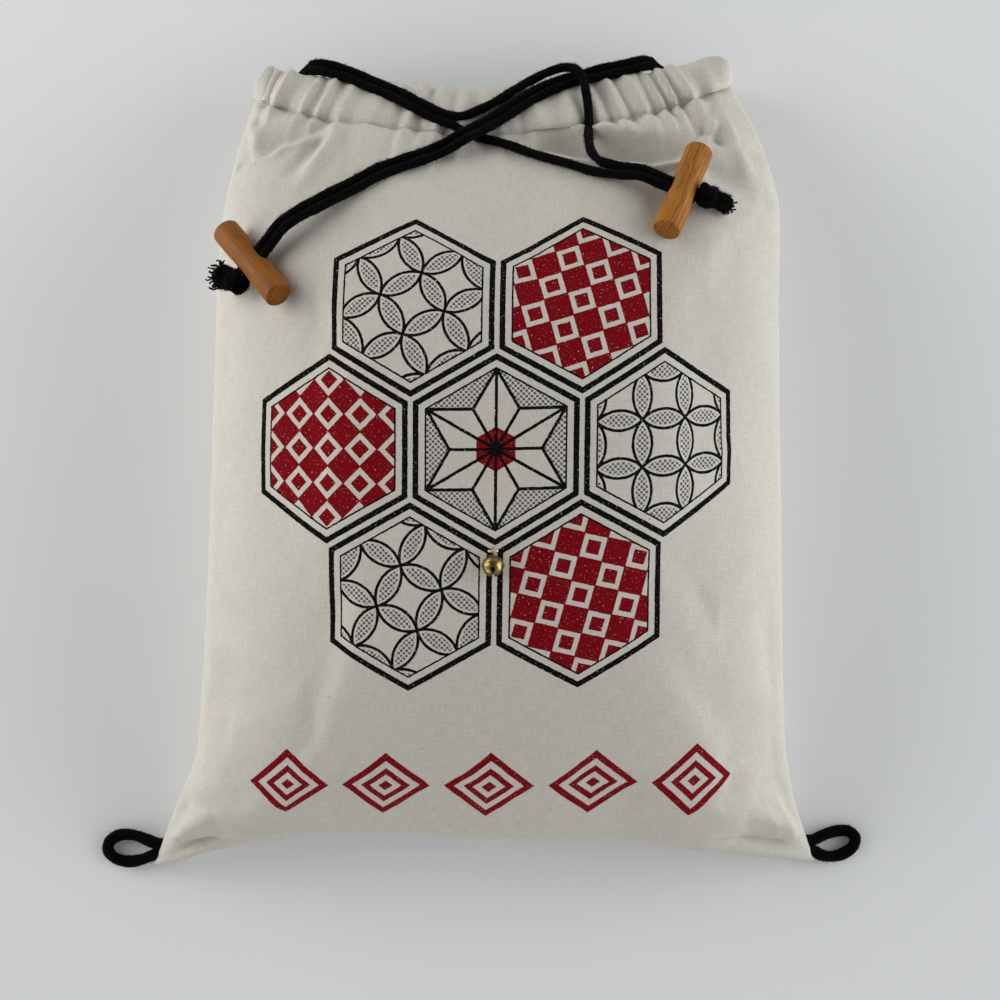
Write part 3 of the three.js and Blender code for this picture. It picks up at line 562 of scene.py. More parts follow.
def cloth_points(height, edge, columns, rows, hem_rows, sign):
    """Rows of points from the bottom seam over the panel and round the casing, with s, t and hem of each."""
    u = np.linspace(-1, 1, columns + 1)
    s = np.sign(u) * (1 - (1 - np.abs(u)) ** 1.35)
    v = np.linspace(0, 1, rows + 1)
    t = v - 0.4 / (2 * math.pi) * np.sin(2 * math.pi * v)
    share, along = np.meshgrid(s, t)
    bottom, stitch = bend(BOTTOM_SEAM, share), bend(STITCH_LINE, share)
    y = bottom + (stitch - bottom) * along
    body = np.stack([middle_of(y) + half_of(y) * share, y, height(share, y)], -1)
    body[..., 1] += tucked(share) * np.exp(-(((y - bottom) / TUCK_REACH) ** 2))
    start = body[-1] - [0, 0, sign * CLOTH / 2]
    reach = s * np.where(s < 0, *EDGE_SHARES)
    rim = np.stack([EDGE_CENTRE + EDGE_REACH * reach, bend(edge["line"], reach),
                    edge["height"] - edge["droop"] * reach * reach], -1)
    up = rim - start
    length = np.linalg.norm(up, axis=1)[:, None]
    up = up / length
    half = (length - CASING_CLEAR) / 2
    middle = start + up * (CASING_CLEAR + half)
    normal = np.cross(np.gradient(middle, axis=0), up)
    normal = sign * normal / np.linalg.norm(normal, axis=1)[:, None]
    flap = np.clip((np.abs(s) - 0.82) / 0.08, 0, 1)[:, None]
    flap = flap * flap * (3 - 2 * flap)
    corner = np.clip((np.abs(s) - 0.93) / 0.07, 0, 1)[:, None] ** 2.2
    angles = np.linspace(math.pi * 0.93, -math.pi * 0.95, hem_rows)
    hem = []
    for angle in angles:
        rise = half * math.copysign(abs(math.cos(angle)) ** 0.75, math.cos(angle))
        out = math.copysign(abs(math.sin(angle)) ** 0.75, math.sin(angle))
        proud = (1 - flap) * CASING_HALF_THICKNESS * out * normal + flap * (3.8 + 0.8 * out) * sign * UPWARDS
        proud -= up * (CORNER_DROP * corner * (1 + rise / half) / 2)
        hem.append(middle + up * rise + proud)
    turned = np.r_[np.zeros(rows + 1), np.linspace(0, 2, hem_rows + 1)[1:]]
    return np.concatenate([body, np.array(hem)]), s, np.r_[t, np.ones(hem_rows)], turned


print("the bottom seam is tucked in by up to", round(float(tucked(np.linspace(-1, 1, 99)).max()), 1), "mm")


# %% The two sheets, still smooth
def cloth_normals(points):
    """Outward directions of the rows of points."""
    normals = np.cross(np.gradient(points, axis=1), np.gradient(points, axis=0))
    return normals / np.maximum(np.linalg.norm(normals, axis=2), 1e-9)[..., None]


COLUMNS, ROWS, HEM_ROWS = 196, 156, 42
BACK_COLUMNS, BACK_ROWS, BACK_HEM_ROWS = 110, 100, 30
front_points, front_s, front_t, front_hem = cloth_points(
    front_height, FRONT_EDGE, COLUMNS, ROWS, HEM_ROWS, 1)
back_points, back_s, back_t, _ = cloth_points(
    back_height, BACK_EDGE, BACK_COLUMNS, BACK_ROWS, BACK_HEM_ROWS, -1)
print("front sheet", front_points.shape, "back sheet", back_points.shape)

# %% [markdown]
# ## Folds, puckers and gathers
# Cloth that is gathered on a cord makes short pleats, some millimetres apart, that fade below the stitch
# line. Where the fill pulls on the cloth it makes drag folds. Both are ridges along a line, so a list of
# lines with their heights and widths draws them, and each point moves along the cloth's own normal. Two
# kinds are one-sided: creases, where the cloth falls towards a line and comes up at once, at the bottom
# corners, and pockets, the same but straight down, where the cloth hangs in under the mouth.

# %% Ridges and creases in the cloth
RIDGE_ENDS, CREASE_ENDS, LIP = (0.04, 0.96), (0.02, 0.98), 0.25


def legs(x, y, route):
    """For each leg of a route: how far each place is, on which side, and the share of the route there."""
    for k, (a, b) in enumerate(zip(route, route[1:])):
        a, b = np.array(a, float), np.array(b, float)
        step = (b - a) / ((b - a) @ (b - a))
        t = np.clip((x - a[0]) * step[0] + (y - a[1]) * step[1], 0, 1)
        far = np.hypot(x - a[0] - t * (b[0] - a[0]), y - a[1] - t * (b[1] - a[1]))
        left = np.sign((y - a[1]) * step[0] - (x - a[0]) * step[1])
        yield far, left, (k + t) / (len(route) - 1)


def ridge(x, y, route, height, width):
    """A soft ridge, or with a negative height a valley, along a route that fades towards its ends."""
    best = np.zeros_like(x)
    for far, _, share in legs(x, y, route):
        fade = np.sin(math.pi * np.clip(share, *RIDGE_ENDS)) ** 0.6
        best = np.maximum(best, np.exp(-((far / width) ** 2)) * fade)
    return height * best


def crease(x, y, route, depth, reach, shape, sharp):
    """The cloth falls towards a route on its left side, over reach, and comes up again in a small lip."""
    nearest, value = np.full_like(x, np.inf), np.zeros_like(x)
    for far, side, share in legs(x, y, route):
        left = far * side
        fade = np.sin(math.pi * np.clip(share, *CREASE_ENDS)) ** 0.5
        beyond = np.where(left > 0, 1, np.exp(-((left / sharp) ** 2)))
        fall = np.clip(1 - left / reach, 0, 1) ** shape * beyond
        lip = LIP * np.exp(-(((left + 1.9 * sharp) / (1.3 * sharp)) ** 2))
        value = np.where(far < nearest, depth * fade * (lip - fall), value)
        nearest = np.minimum(nearest, far)
    return value


print("a ridge keeps", round(math.sin(math.pi * RIDGE_ENDS[0]) ** 0.6, 2), "of its height at its ends")

# %% The folds of this bag
FOLD_DEPTH = 2.4
FOLDS = [
    ([(94, 106), (89, 128), (85, 152)], -0.9, 10.0), ([(-87, 137), (-75, 155.5), (-69, 168)], 1.3, 3.2),
    ([(-95, 140), (-84, 154), (-76, 165)], -0.9, 3.4), ([(-66, 169), (-46, 172), (-28, 166)], 1.2, 3.4),
    ([(-60, 160), (-40, 158), (-20, 150)], 0.8, 5.0), ([(50, 164), (76, 165), (104, 170)], 1.4, 4.2),
    ([(106, 154), (112, 164), (116, 174)], 1.6, 2.8), ([(106, 168), (114, 164), (124, 158)], -2.2, 3.2),
    ([(104, 150), (115, 142), (126, 137), (136, 131)], -1.9, 5.5),
    ([(132, 140), (124, 156), (120, 174)], 1.1, 3.6), ([(-8, 166), (4, 160), (26, 158)], -1.0, 5.0),
    ([(14, 168), (34, 166), (50, 166)], 1.0, 4.0), ([(-118, 176), (-112, 164), (-110, 150)], 1.0, 3.4),
    ([(-166, -196), (-150, -182), (-132, -172)], 1.6, 5.0),
    ([(-156, -199), (-138, -190), (-116, -186)], -1.4, 4.0),
    ([(-162, -188), (-152, -172), (-147, -156)], -1.3, 4.0),
    ([(-152, -160), (-150, -148), (-147, -138)], 1.8, 4.5),
    ([(168, -192), (152, -180), (136, -170)], 1.6, 5.0),
    ([(158, -197), (140, -189), (118, -185)], -1.4, 4.0),
    ([(164, -186), (157, -172), (153, -158)], -1.4, 4.0),
    ([(150, -166), (154, -176), (158, -186)], 1.2, 3.5),
    ([(-134, -176), (-110, -168), (-84, -164)], 0.9, 6.0),
    ([(134, -174), (112, -166), (88, -163)], 0.9, 6.0),
    ([(-140, -120), (-132, -100), (-130, -80)], 0.9, 7.0),
    ([(149, -110), (142, -90), (141, -64)], -0.8, 7.0),
]
CREASES = [
    ([(-92.0, -184.5), (-110.8, -187.4), (-131.0, -190.6), (-149.7, -191.2), (-165.3, -188.5)],
     3.2, 8.0, 1.2, 1.5),
    ([(164.0, -189.5), (146.0, -191.0), (126.0, -188.5), (104.0, -184.5)], 2.4, 8.0, 1.2, 1.5),
]
POCKETS = [
    ([(-121.0, 148.5), (-118.9, 150.5), (-111.5, 153.9), (-104.2, 155.4), (-96.8, 160.3), (-89.4, 162.3),
      (-82.0, 165.8), (-74.6, 169.7)], 8.0, 13.0, 1.4, 1.7),
    ([(24.0, 157.5), (32.0, 156.2), (40.0, 154.5), (50.0, 152.6), (60.0, 150.6), (70.0, 150.0),
      (82.0, 150.2), (94.0, 151.6), (105.0, 156.0)], 20.0, 12.5, 0.9, 2.0),
]
PLEATS = [
    (-109, -1.6, 2.0), (-103, 2.6, 2.0), (-96, -0.9, 3.0), (-87, 2.2, 2.0), (-82.5, -0.7, 1.9),
    (-78, 1.9, 2.0), (-73, -1.3, 2.0), (-67, 1.3, 2.4), (-60, -0.9, 3.0), (-50, 1.0, 3.4), (-38, -1.4, 2.6),
    (-32, 2.0, 2.2), (-26.5, -1.9, 2.2), (-20, 2.2, 2.4), (-14, -1.7, 2.2), (-8, 1.8, 2.2), (-1, -1.4, 2.6),
    (7, 1.3, 2.6), (16, -1.1, 2.8), (25, 1.2, 2.8), (34, -1.2, 2.6), (42, 1.4, 2.6), (48, -1.0, 2.4),
    (54, 1.8, 2.4), (59.7, -2.3, 2.0), (65.7, 2.2, 2.1), (71.3, -2.5, 1.8), (77.8, 2.5, 2.1),
    (84.0, -1.7, 1.8), (88.2, 2.2, 1.6), (91.8, -2.4, 1.6), (95.2, 2.3, 1.6), (99.0, -2.2, 1.8),
    (105.5, 3.4, 2.6), (112, -0.9, 2.4), (118, 1.2, 3.0),
]
print(len(FOLDS), "folds and", len(CREASES), "creases")
print(len(POCKETS), "pockets and", len(PLEATS), "pleats")


# %% Gathers and gentle lumps
GATHER_REACH, MOUTH_Y = 15.0, 184


def gathers(points, s, hem):
    """Pleats that stand on the casing and fade below the stitch line."""
    x, y = points[..., 0], points[..., 1]
    below = np.clip((bend(STITCH_LINE, s)[None, :] - y) / GATHER_REACH, 0, 4)
    strength = np.where(hem[:, None] > 0, 1.0, 0.75 * np.exp(-(below**1.3)))
    field = np.zeros_like(x)
    for place, height, width in PLEATS:
        slant = 0.42 * math.tanh(-place / 30) + 0.08 * math.sin(place * 0.7)
        lean = slant * (y - MOUTH_Y) + 0.006 * slant * (y - MOUTH_Y) ** 2
        field += height * np.exp(-(((x - place - lean) / width) ** 2))
    return field * strength


def noise_field(points, size, seed):
    """Smooth noise from -1 to 1 with lumps of the given size."""
    flat = points.reshape(-1, 3) / size
    values = [noise.noise(Vector((p[0] + 17.3 * seed, p[1] - 9.1 * seed, p[2] * 0.5))) for p in flat]
    return np.array(values).reshape(points.shape[:2])


HALF_WIDTH, PANEL_LENGTH, SEAM_REACH = 135, 360, 7


def seam_fade(s, t):
    """0 in the seams and 1 from some millimetres off them, for each row and column."""
    across = np.clip((1 - np.abs(s)) * HALF_WIDTH / SEAM_REACH, 0, 1)
    along = np.clip(t * PANEL_LENGTH / SEAM_REACH, 0, 1)
    return across[None, :] * along[:, None]


print("gathers reach", GATHER_REACH, "mm below the stitch line")

# %% [markdown]
# ## Wrinkles that the fill makes
# Between its seams the cloth is a little too large for its fill, so it wrinkles. Blender's cloth simulation
# finds those wrinkles: a coarser copy of the front, held fast at its edges, grows by some percent and gets
# pressure from inside. Only its small wrinkles are kept, as moves along the cloth's normal, and they are
# added to the fine sheet. The copy is then thrown away.

# %% A grid and a running mean
def grid(shape):
    """A bmesh grid of so many rows and columns of points, and the row and column of each vertex."""
    rows, columns = shape[0] - 1, shape[1] - 1
    bm = bmesh.new()
    bmesh.ops.create_grid(bm, x_segments=columns, y_segments=rows, size=1)
    return bm, [(round((v.co.y + 1) / 2 * rows), round((v.co.x + 1) / 2 * columns)) for v in bm.verts]


def blurred(field, reach, times=3):
    """A field smoothed over some cells, each time with a plain running mean."""
    for _ in range(times):
        for axis in (0, 1):
            pad = [(reach, reach) if i == axis else (0, 0) for i in (0, 1)]
            total = np.cumsum(np.pad(field, pad, mode="edge"), axis=axis)
            first = np.take(total, range(0, field.shape[axis]), axis=axis)
            last = np.take(total, range(2 * reach, field.shape[axis] + 2 * reach), axis=axis)
            field = (last - first) / (2 * reach)
    return field


trial, spots = grid((3, 4))
print("a grid of 3 rows and 4 columns has", len(spots), "vertices")
trial.free()


# %% Let a cloth settle
def settled(points, grow, pressure, frames, cap):
    """How far each point of a coarse sheet moves along its normal when the cloth finds its wrinkles."""
    bm, place = grid(points.shape)
    normals = cloth_normals(points)
    start = points + normals * (0.25 * noise_field(points, 16, 8))[..., None]
    for v, spot in zip(bm.verts, place):
        v.co = Vector(start[spot]) * MM
    copy = as_object("settling_cloth", bm)
    held = copy.vertex_groups.new(name="held")
    last = (points.shape[0] - 1, points.shape[1] - 1)
    fast = [i for i, spot in enumerate(place) if 0 in spot or spot[0] == last[0] or spot[1] == last[1]]
    held.add(fast, 1.0, "REPLACE")
    cloth = copy.modifiers.new("cloth", "CLOTH")
    cloth.settings.quality = 6
    cloth.settings.mass = 0.3
    cloth.settings.bending_stiffness = 0.02
    cloth.settings.shrink_min = -grow
    cloth.settings.vertex_group_mass = "held"
    cloth.settings.use_pressure = True
    cloth.settings.uniform_pressure_force = pressure
    cloth.settings.effector_weights.gravity = 0
    cloth.collision_settings.use_collision = False
    cloth.point_cache.frame_start, cloth.point_cache.frame_end = 1, frames
    for frame_number in range(1, frames + 1):
        bpy.context.scene.frame_set(frame_number)
    shape = copy.evaluated_get(bpy.context.evaluated_depsgraph_get())
    mesh = shape.to_mesh()
    moved = np.zeros(points.shape)
    for vertex, spot in zip(mesh.vertices, place):
        moved[spot] = np.array(vertex.co) / MM
    shape.to_mesh_clear()
    bpy.data.objects.remove(copy)
    bpy.context.scene.frame_set(1)
    lift = ((moved - points) * normals).sum(-1)
    print("cloth moved", round(float(lift.min()), 1), "to", round(float(lift.max()), 1), "mm")
    small = lift - blurred(lift, 7)
    return cap * np.tanh(small / cap)


COARSE, SETTLING = 2, {"grow": 0.03, "pressure": 1.2, "frames": 36, "cap": 4.0}
print("the front settles for", SETTLING["frames"], "frames")


# %% Settle the front
def spread(field, shape):
    """A coarse field read between its points on a finer grid."""
    rows = np.linspace(0, field.shape[0] - 1, shape[0])
    columns = np.linspace(0, field.shape[1] - 1, shape[1])
    along = np.array([np.interp(rows, range(field.shape[0]), column) for column in field.T]).T
    return np.array([np.interp(columns, range(field.shape[1]), row) for row in along])


front_settled = np.zeros((ROWS + 1, COLUMNS + 1))
coarse = settled(front_points[:ROWS + 1:COARSE, ::COARSE], **SETTLING)
front_settled = spread(coarse, front_settled.shape)
print("wrinkles from", round(float(front_settled.min()), 2), "to",
      round(float(front_settled.max()), 2), "mm")

# %% Move the front cloth into its folds
SETTLED_SHARE = 0.42
LUMPS = ((1.3, 62, 1), (0.5, 24, 2))
ROLL, ROLL_BELOW, ROLL_WIDTH = 1.6, 4.5, 4.0
GROOVE, GROOVE_WIDTH = 0.45, 2.0
x, y = front_points[..., 0], front_points[..., 1]
on_panel = (front_hem == 0)[:, None]
above_stitches = y - bend(STITCH_LINE, front_s)[None, :]
field = FOLD_DEPTH * sum(ridge(x, y, *fold) for fold in FOLDS) * on_panel
field += sum(crease(x, y, *fold) for fold in CREASES) * on_panel
edge_on = np.abs(cloth_normals(front_points)[..., 1]) * ~on_panel
field += gathers(front_points, front_s, front_hem) * (1 - 0.45 * edge_on)
field[:ROWS + 1] += SETTLED_SHARE * front_settled
for height, size, seed in LUMPS:
    field += height * noise_field(front_points, size, seed)
beside_seam = np.exp(-((1 - np.abs(front_s)) * HALF_WIDTH / 12))[None, :]
field += 1.6 * beside_seam * noise_field(front_points * [0.4, 2.2, 0.4], 22, 3)
field += ROLL * np.exp(-(((above_stitches + ROLL_BELOW) / ROLL_WIDTH) ** 2)) * on_panel
field -= GROOVE * np.exp(-((above_stitches / GROOVE_WIDTH) ** 2))
move = field * seam_fade(front_s, front_t)
front_cloth = front_points + cloth_normals(front_points) * move[..., None]
front_cloth[..., 2] += sum(crease(x, y, *fold) for fold in POCKETS) * on_panel
scallop = 1.1 * np.sin(front_points[-1, :, 0] / 2.1) * np.sin(front_points[-1, :, 0] / 13.0 + 1)
front_cloth[..., 1] += scallop[None, :] * np.sin(np.clip(front_hem, 0, 2) * math.pi / 2)[:, None]
print("deepest fold", round(float(field.min()), 2), "highest", round(float(field.max()), 2), "mm")


# %% Distances along the cloth
CENTRE_Y, BAND_Y = 7.0, -153


def cloth_distances(points, centre_column):
    """UVs in millimetres: across from the centre column, and along from the row at CENTRE_Y."""
    across = np.linalg.norm(np.diff(points, axis=1), axis=2)
    u = np.pad(np.cumsum(across, axis=1), ((0, 0), (1, 0)))
    along = np.linalg.norm(np.diff(points, axis=0), axis=2)
    v = np.pad(np.cumsum(along, axis=0), ((1, 0), (0, 0)))
    row = int(np.argmin(np.abs(points[:, centre_column, 1] - CENTRE_Y)))
    return u - u[:, centre_column][:, None], v - v[row][None, :]


front_u, front_v = cloth_distances(front_points, COLUMNS // 2)
band_row = int(np.argmin(np.abs(front_points[:100, COLUMNS // 2, 1] - BAND_Y)))
BAND_PLACE = float(front_v[band_row, COLUMNS // 2])
print("cloth from", round(float(front_u.min())), "to", round(float(front_u.max())), "mm")
print("band at", round(BAND_PLACE), "mm")

# %% [markdown]
# ## Canvas and its print
# The cloth is unbleached cotton canvas in plain weave, with about 20 threads to the centimetre. That is too
# fine for the picture, so the threads are drawn 0.9 mm apart. Slubs make some threads thicker, and tiny
# husks show as specks. The print sits in the same shader: a flower of seven hexagons with traditional
# lattices, a hemp leaf in the middle, and a band of five nested lozenges, in black, deep red and a grey of
# small dots. Each is worked out from distances, by short steps of arithmetic on the cloth's own UVs.

# %% Arithmetic of the print
HEX, SPAN = 37.0, 79.0
FRAME_LINE, THIN_LINE, LATTICE_LINE, LEAF_LINE = 1.35, 0.42, 0.7, 0.75
RING, CIRCLE = 22.0, 15.56
CHECK, EYE_RADIUS = 8.0, 9.0
LOZENGE_PITCH, BAND_END = 25.0, 124.0
SIN_60 = 0.866
PRINT_STEPS = [
    ("r", "SQRT", "rr"), ("turn", "ARCTAN2", "v", "u"), ("sixth", "DIVIDE", "turn", math.pi / 3),
    ("k", "ROUND", "sixth"), ("back", "MULTIPLY", "k", math.pi / 3), ("angle", "SUBTRACT", "turn", "back"),
    ("cos", "COSINE", "angle"), ("sin", "SINE", "angle"), ("p", "MULTIPLY", "r", "cos"),
    ("q", "MULTIPLY", "r", "sin"), ("side", "ABSOLUTE", "q"), ("inner", "LESS_THAN", "p", SPAN / 2),
    ("ring_p", "SUBTRACT", "p", SPAN), ("far", "ABSOLUTE", "ring_p"), ("half", "MULTIPLY", "far", 0.5),
    ("slope", "MULTIPLY_ADD", "side", SIN_60, "half"), ("ring_hex", "MAXIMUM", "far", "slope"),
    ("hex_gap", "SUBTRACT", "p", "ring_hex"), ("hex", "MULTIPLY_ADD", "hex_gap", "inner", "ring_hex"),
    ("bold", "COMPARE", "hex", HEX, FRAME_LINE), ("thin", "COMPARE", "hex", HEX - 4.6, THIN_LINE),
    ("field", "LESS_THAN", "hex", HEX - 4.8),
    ("leaf_a", "MULTIPLY", "side", SIN_60), ("leaf_b", "MULTIPLY", "p", 0.5),
    ("leaf_c", "SUBTRACT", "leaf_a", "leaf_b"), ("spoke", "ABSOLUTE", "leaf_c"),
    ("tip_a", "SUBTRACT", "p", 2 * (HEX - 5) / 3), ("tip_b", "MULTIPLY", "tip_a", SIN_60),
    ("tip_c", "MULTIPLY", "side", 0.5), ("tip", "SUBTRACT", "tip_b", "tip_c"), ("tip_abs", "ABSOLUTE", "tip"),
    ("past", "MULTIPLY", "tip_a", 100.0), ("past_up", "MAXIMUM", "past", 0.0),
    ("mid", "ADD", "side", "past_up"), ("leaf_1", "MINIMUM", "spoke", "tip_abs"),
    ("leaf_2", "MINIMUM", "leaf_1", "mid"),
    ("leaf_line", "LESS_THAN", "leaf_2", LEAF_LINE), ("outside_leaf", "GREATER_THAN", "tip", 0.0),
    ("odd", "PINGPONG", "k", 1.0), ("even", "SUBTRACT", 1.0, "odd"), ("outer", "SUBTRACT", 1.0, "inner"),
    ("fold_p", "PINGPONG", "ring_p", RING / 2), ("fold_q", "PINGPONG", "q", RING / 2),
    ("from_p", "SUBTRACT", RING, "fold_p"), ("from_q", "SUBTRACT", RING, "fold_q"),
    ("pp", "MULTIPLY", "from_p", "from_p"), ("sum_1", "MULTIPLY_ADD", "fold_q", "fold_q", "pp"),
    ("qq", "MULTIPLY", "from_q", "from_q"), ("sum_2", "MULTIPLY_ADD", "fold_p", "fold_p", "qq"),
    ("near", "MINIMUM", "sum_1", "sum_2"), ("near_r", "SQRT", "near"),
    ("ring_line", "COMPARE", "near_r", CIRCLE, LATTICE_LINE),
    ("in_lens", "LESS_THAN", "near_r", CIRCLE - 1.6),
    ("check_p", "PINGPONG", "ring_p", CHECK), ("check_q", "PINGPONG", "q", CHECK),
    ("check", "ADD", "check_p", "check_q"), ("check_out", "GREATER_THAN", "check", 7.6),
    ("check_in", "LESS_THAN", "check", 4.4), ("check_red", "MAXIMUM", "check_out", "check_in"),
    ("outer_odd", "MULTIPLY", "outer", "odd"), ("outer_even", "MULTIPLY", "outer", "even"),
    ("red_1", "MULTIPLY", "check_red", "outer_odd"), ("ring_black", "MULTIPLY", "ring_line", "outer_even"),
    ("ring_grey", "MULTIPLY", "in_lens", "outer_even"), ("leaf_black", "MULTIPLY", "leaf_line", "inner"),
    ("leaf_grey", "MULTIPLY", "outside_leaf", "inner"), ("eye_red", "LESS_THAN", "p", EYE_RADIUS),
    ("red_2", "MAXIMUM", "red_1", "eye_red"), ("red_3", "MULTIPLY", "red_2", "field"),
    ("black_1", "MAXIMUM", "ring_black", "leaf_black"), ("black_2", "MULTIPLY", "black_1", "field"),
    ("black_3", "MAXIMUM", "black_2", "bold"), ("black", "MAXIMUM", "black_3", "thin"),
    ("grey_1", "MAXIMUM", "ring_grey", "leaf_grey"), ("grey_2", "MULTIPLY", "grey_1", "field"),
    ("dot_u", "MULTIPLY", "u", 2.5), ("dot_v", "MULTIPLY", "v", 2.5), ("wave_u", "COSINE", "dot_u"),
    ("wave_v", "COSINE", "dot_v"), ("dots", "MULTIPLY", "wave_u", "wave_v"),
    ("dot", "GREATER_THAN", "dots", 0.05), ("grey", "MULTIPLY", "grey_2", "dot"),
    ("band_v", "SUBTRACT", "v", BAND_PLACE), ("band_far", "ABSOLUTE", "band_v"),
    ("band_fold", "PINGPONG", "u", LOZENGE_PITCH), ("lozenge", "ADD", "band_fold", "band_far"),
    ("loz_1", "COMPARE", "lozenge", 19.2, 2.5), ("loz_2", "COMPARE", "lozenge", 10.0, 2.2),
    ("loz_3", "LESS_THAN", "lozenge", 3.6), ("loz_4", "MAXIMUM", "loz_1", "loz_2"),
    ("loz_5", "MAXIMUM", "loz_4", "loz_3"), ("in_band", "COMPARE", "u", 0.0, BAND_END),
    ("band", "MULTIPLY", "loz_5", "in_band"), ("red", "MAXIMUM", "red_3", "band"),
]
print(len(PRINT_STEPS), "steps")


# %% The canvas material
THREAD_PITCH = 0.9


def canvas(name, printed):
    """Plain-woven cotton with slubs, husks and painted shade between its threads, and the print where it has
    one.
    """
    material, tree, shader = new_material(name)
    place = add(tree, "UVMap", uv_map="cloth")
    wobble = add(tree, "TexNoise", {"Vector": place, "Scale": 0.5, "Detail": 2})
    wander = add(tree, "VectorMath", [wobble.outputs[1], (0.5, 0.5, 0.5)], operation="SUBTRACT")
    bent = add(tree, "VectorMath", [wander, (0.5, 0.5, 0), place], operation="MULTIPLY_ADD")
    flat = add(tree, "SeparateXYZ", [bent])
    values = {"u": flat.outputs[0], "v": flat.outputs[1]}
    rate = math.pi / THREAD_PITCH
    steps = [("wu", "MULTIPLY", "u", rate), ("wv", "MULTIPLY", "v", rate), ("su", "SINE", "wu"),
             ("sv", "SINE", "wv"), ("weave", "MULTIPLY", "su", "sv")]
    if printed:
        steps += [("uu", "MULTIPLY", "u", "u"), ("rr", "MULTIPLY_ADD", "v", "v", "uu")] + PRINT_STEPS
    for key, operation, *inputs in steps:
        sources = [values[value] if isinstance(value, str) else value for value in inputs]
        values[key] = add(tree, "Math", sources, operation=operation)
    slubs = []
    for scale in ((0.9, 0.09, 1), (0.09, 0.9, 1)):
        lane = add(tree, "Mapping", {"Vector": place, "Scale": scale})
        slubs.append(add(tree, "TexNoise", {"Vector": lane, "Scale": 1.6, "Detail": 2}))
    slub = add(tree, "Math", slubs, operation="ADD")
    tone = add(tree, "MapRange", [slub, 0.75, 1.25])
    cloth = add(tree, "Mix", {0: tone, 6: "#c6c2b8", 7: "#d4d0c7"}, data_type="RGBA")
    lint = add(tree, "TexNoise", {"Vector": place, "Scale": 1.3, "Detail": 2})
    uneven = add(tree, "MapRange", [lint, 0.35, 0.65, 0.1, 1.0])
    # The weave's relief also darkens the hollows between the threads, as painted shade.
    weave_relief = add(tree, "Math", [values["weave"], uneven], operation="MULTIPLY")
    valley = add(tree, "MapRange", [weave_relief, -1.0, 1.0, 0.88, 1.0])
    shade = add(tree, "Mix", {0: 1.0, 6: cloth, 7: valley}, data_type="RGBA", blend_type="MULTIPLY")
    husk = add(tree, "TexVoronoi", {"Vector": place, "Scale": 0.06}, feature="F1")
    speck = add(tree, "Math", [husk, 0.022], operation="LESS_THAN")
    colour = add(tree, "Mix", {0: speck, 6: shade, 7: "#8b7a5e"}, data_type="RGBA")
    if printed:
        bare = add(tree, "TexNoise", {"Vector": place, "Scale": 1.1, "Detail": 3})
        cover = add(tree, "MapRange", [bare, 0.25, 0.36])
        for key, ink in (("grey", "#5a585e"), ("red", "#7a0310"), ("black", "#090808")):
            amount = add(tree, "Math", [values[key], cover], operation="MULTIPLY")
            colour = add(tree, "Mix", {0: amount, 6: colour, 7: ink}, data_type="RGBA")
    rough = add(tree, "Math", [lint, 1.6, weave_relief], operation="MULTIPLY_ADD")
    height = add(tree, "Math", [slub, 0.9, rough], operation="MULTIPLY_ADD")
    bump = add(tree, "Bump", {"Height": height, "Strength": 0.55, "Distance": 0.12 * MM})
    fill(tree, shader, {"Base Color": colour, "Normal": bump, "Roughness": 1.0, "Specular IOR Level": 0.1,
                        "Sheen Weight": 0.01})
    return material


printed_canvas = canvas("printed_cotton_canvas", True)
plain_canvas = canvas("plain_cotton_canvas", False)
print(len(printed_canvas.node_tree.nodes), "nodes in the printed canvas")


# %% Sew the sheets
CLOTH_WALL = 0.6


def cloth_piece(name, points, u, v, material, nodes, outward):
    """A grid whose vertices stand at the rows of points, as one sheet of cloth with a thin wall."""
    bm, place = grid(points.shape)
    uv = bm.loops.layers.uv.new("cloth")
    spots = dict(zip(bm.verts, place))
    for face in bm.faces:
        for loop in face.loops:
            loop[uv].uv = (u[spots[loop.vert]], v[spots[loop.vert]])
    for vert, spot in spots.items():
        vert.co = points[spot]
    obj = piece(name, bm, "bag", material, nodes)
    if sum(p.normal.z * p.area for p in obj.data.polygons) * outward < 0:
        obj.data.flip_normals()
    wall = obj.modifiers.new("wall", "SOLIDIFY")
    wall.thickness = CLOTH_WALL * MM
    wall.offset = -1
    return obj


front_sheet = cloth_piece("front_cloth", front_cloth, front_u, front_v, printed_canvas,
                          ["front_panel", "front_casing"], 1)
back_u, back_v = cloth_distances(back_points, BACK_COLUMNS // 2)
lumps = 1.1 * noise_field(back_points, 40, 5) * np.clip(back_points[..., 2] / 8, 0, 1)
lumps *= seam_fade(back_s, back_t)
back_cloth = back_points - cloth_normals(back_points) * lumps[..., None]
back_cloth[..., 2] = np.maximum(back_cloth[..., 2], 0.3)
back_sheet = cloth_piece("back_cloth", back_cloth, back_u, back_v, plain_canvas,
                         ["back_panel", "back_casing"], -1)
print("front", len(front_sheet.data.polygons), "faces, back", len(back_sheet.data.polygons))

# %% [markdown]
# ## The turned toggles
# A toggle is a peg of pale hardwood, turned on a lathe, a little thinner in the middle, with one long hole
# for both strands. Half its outline is drawn once and spun round its axis. A flat bar with round ends, the
# shape that a drill leaves when it moves sideways, is then taken out of it with a Boolean, and the mesh
# keeps the place of each point along and across the peg, so the grain runs along the wood.

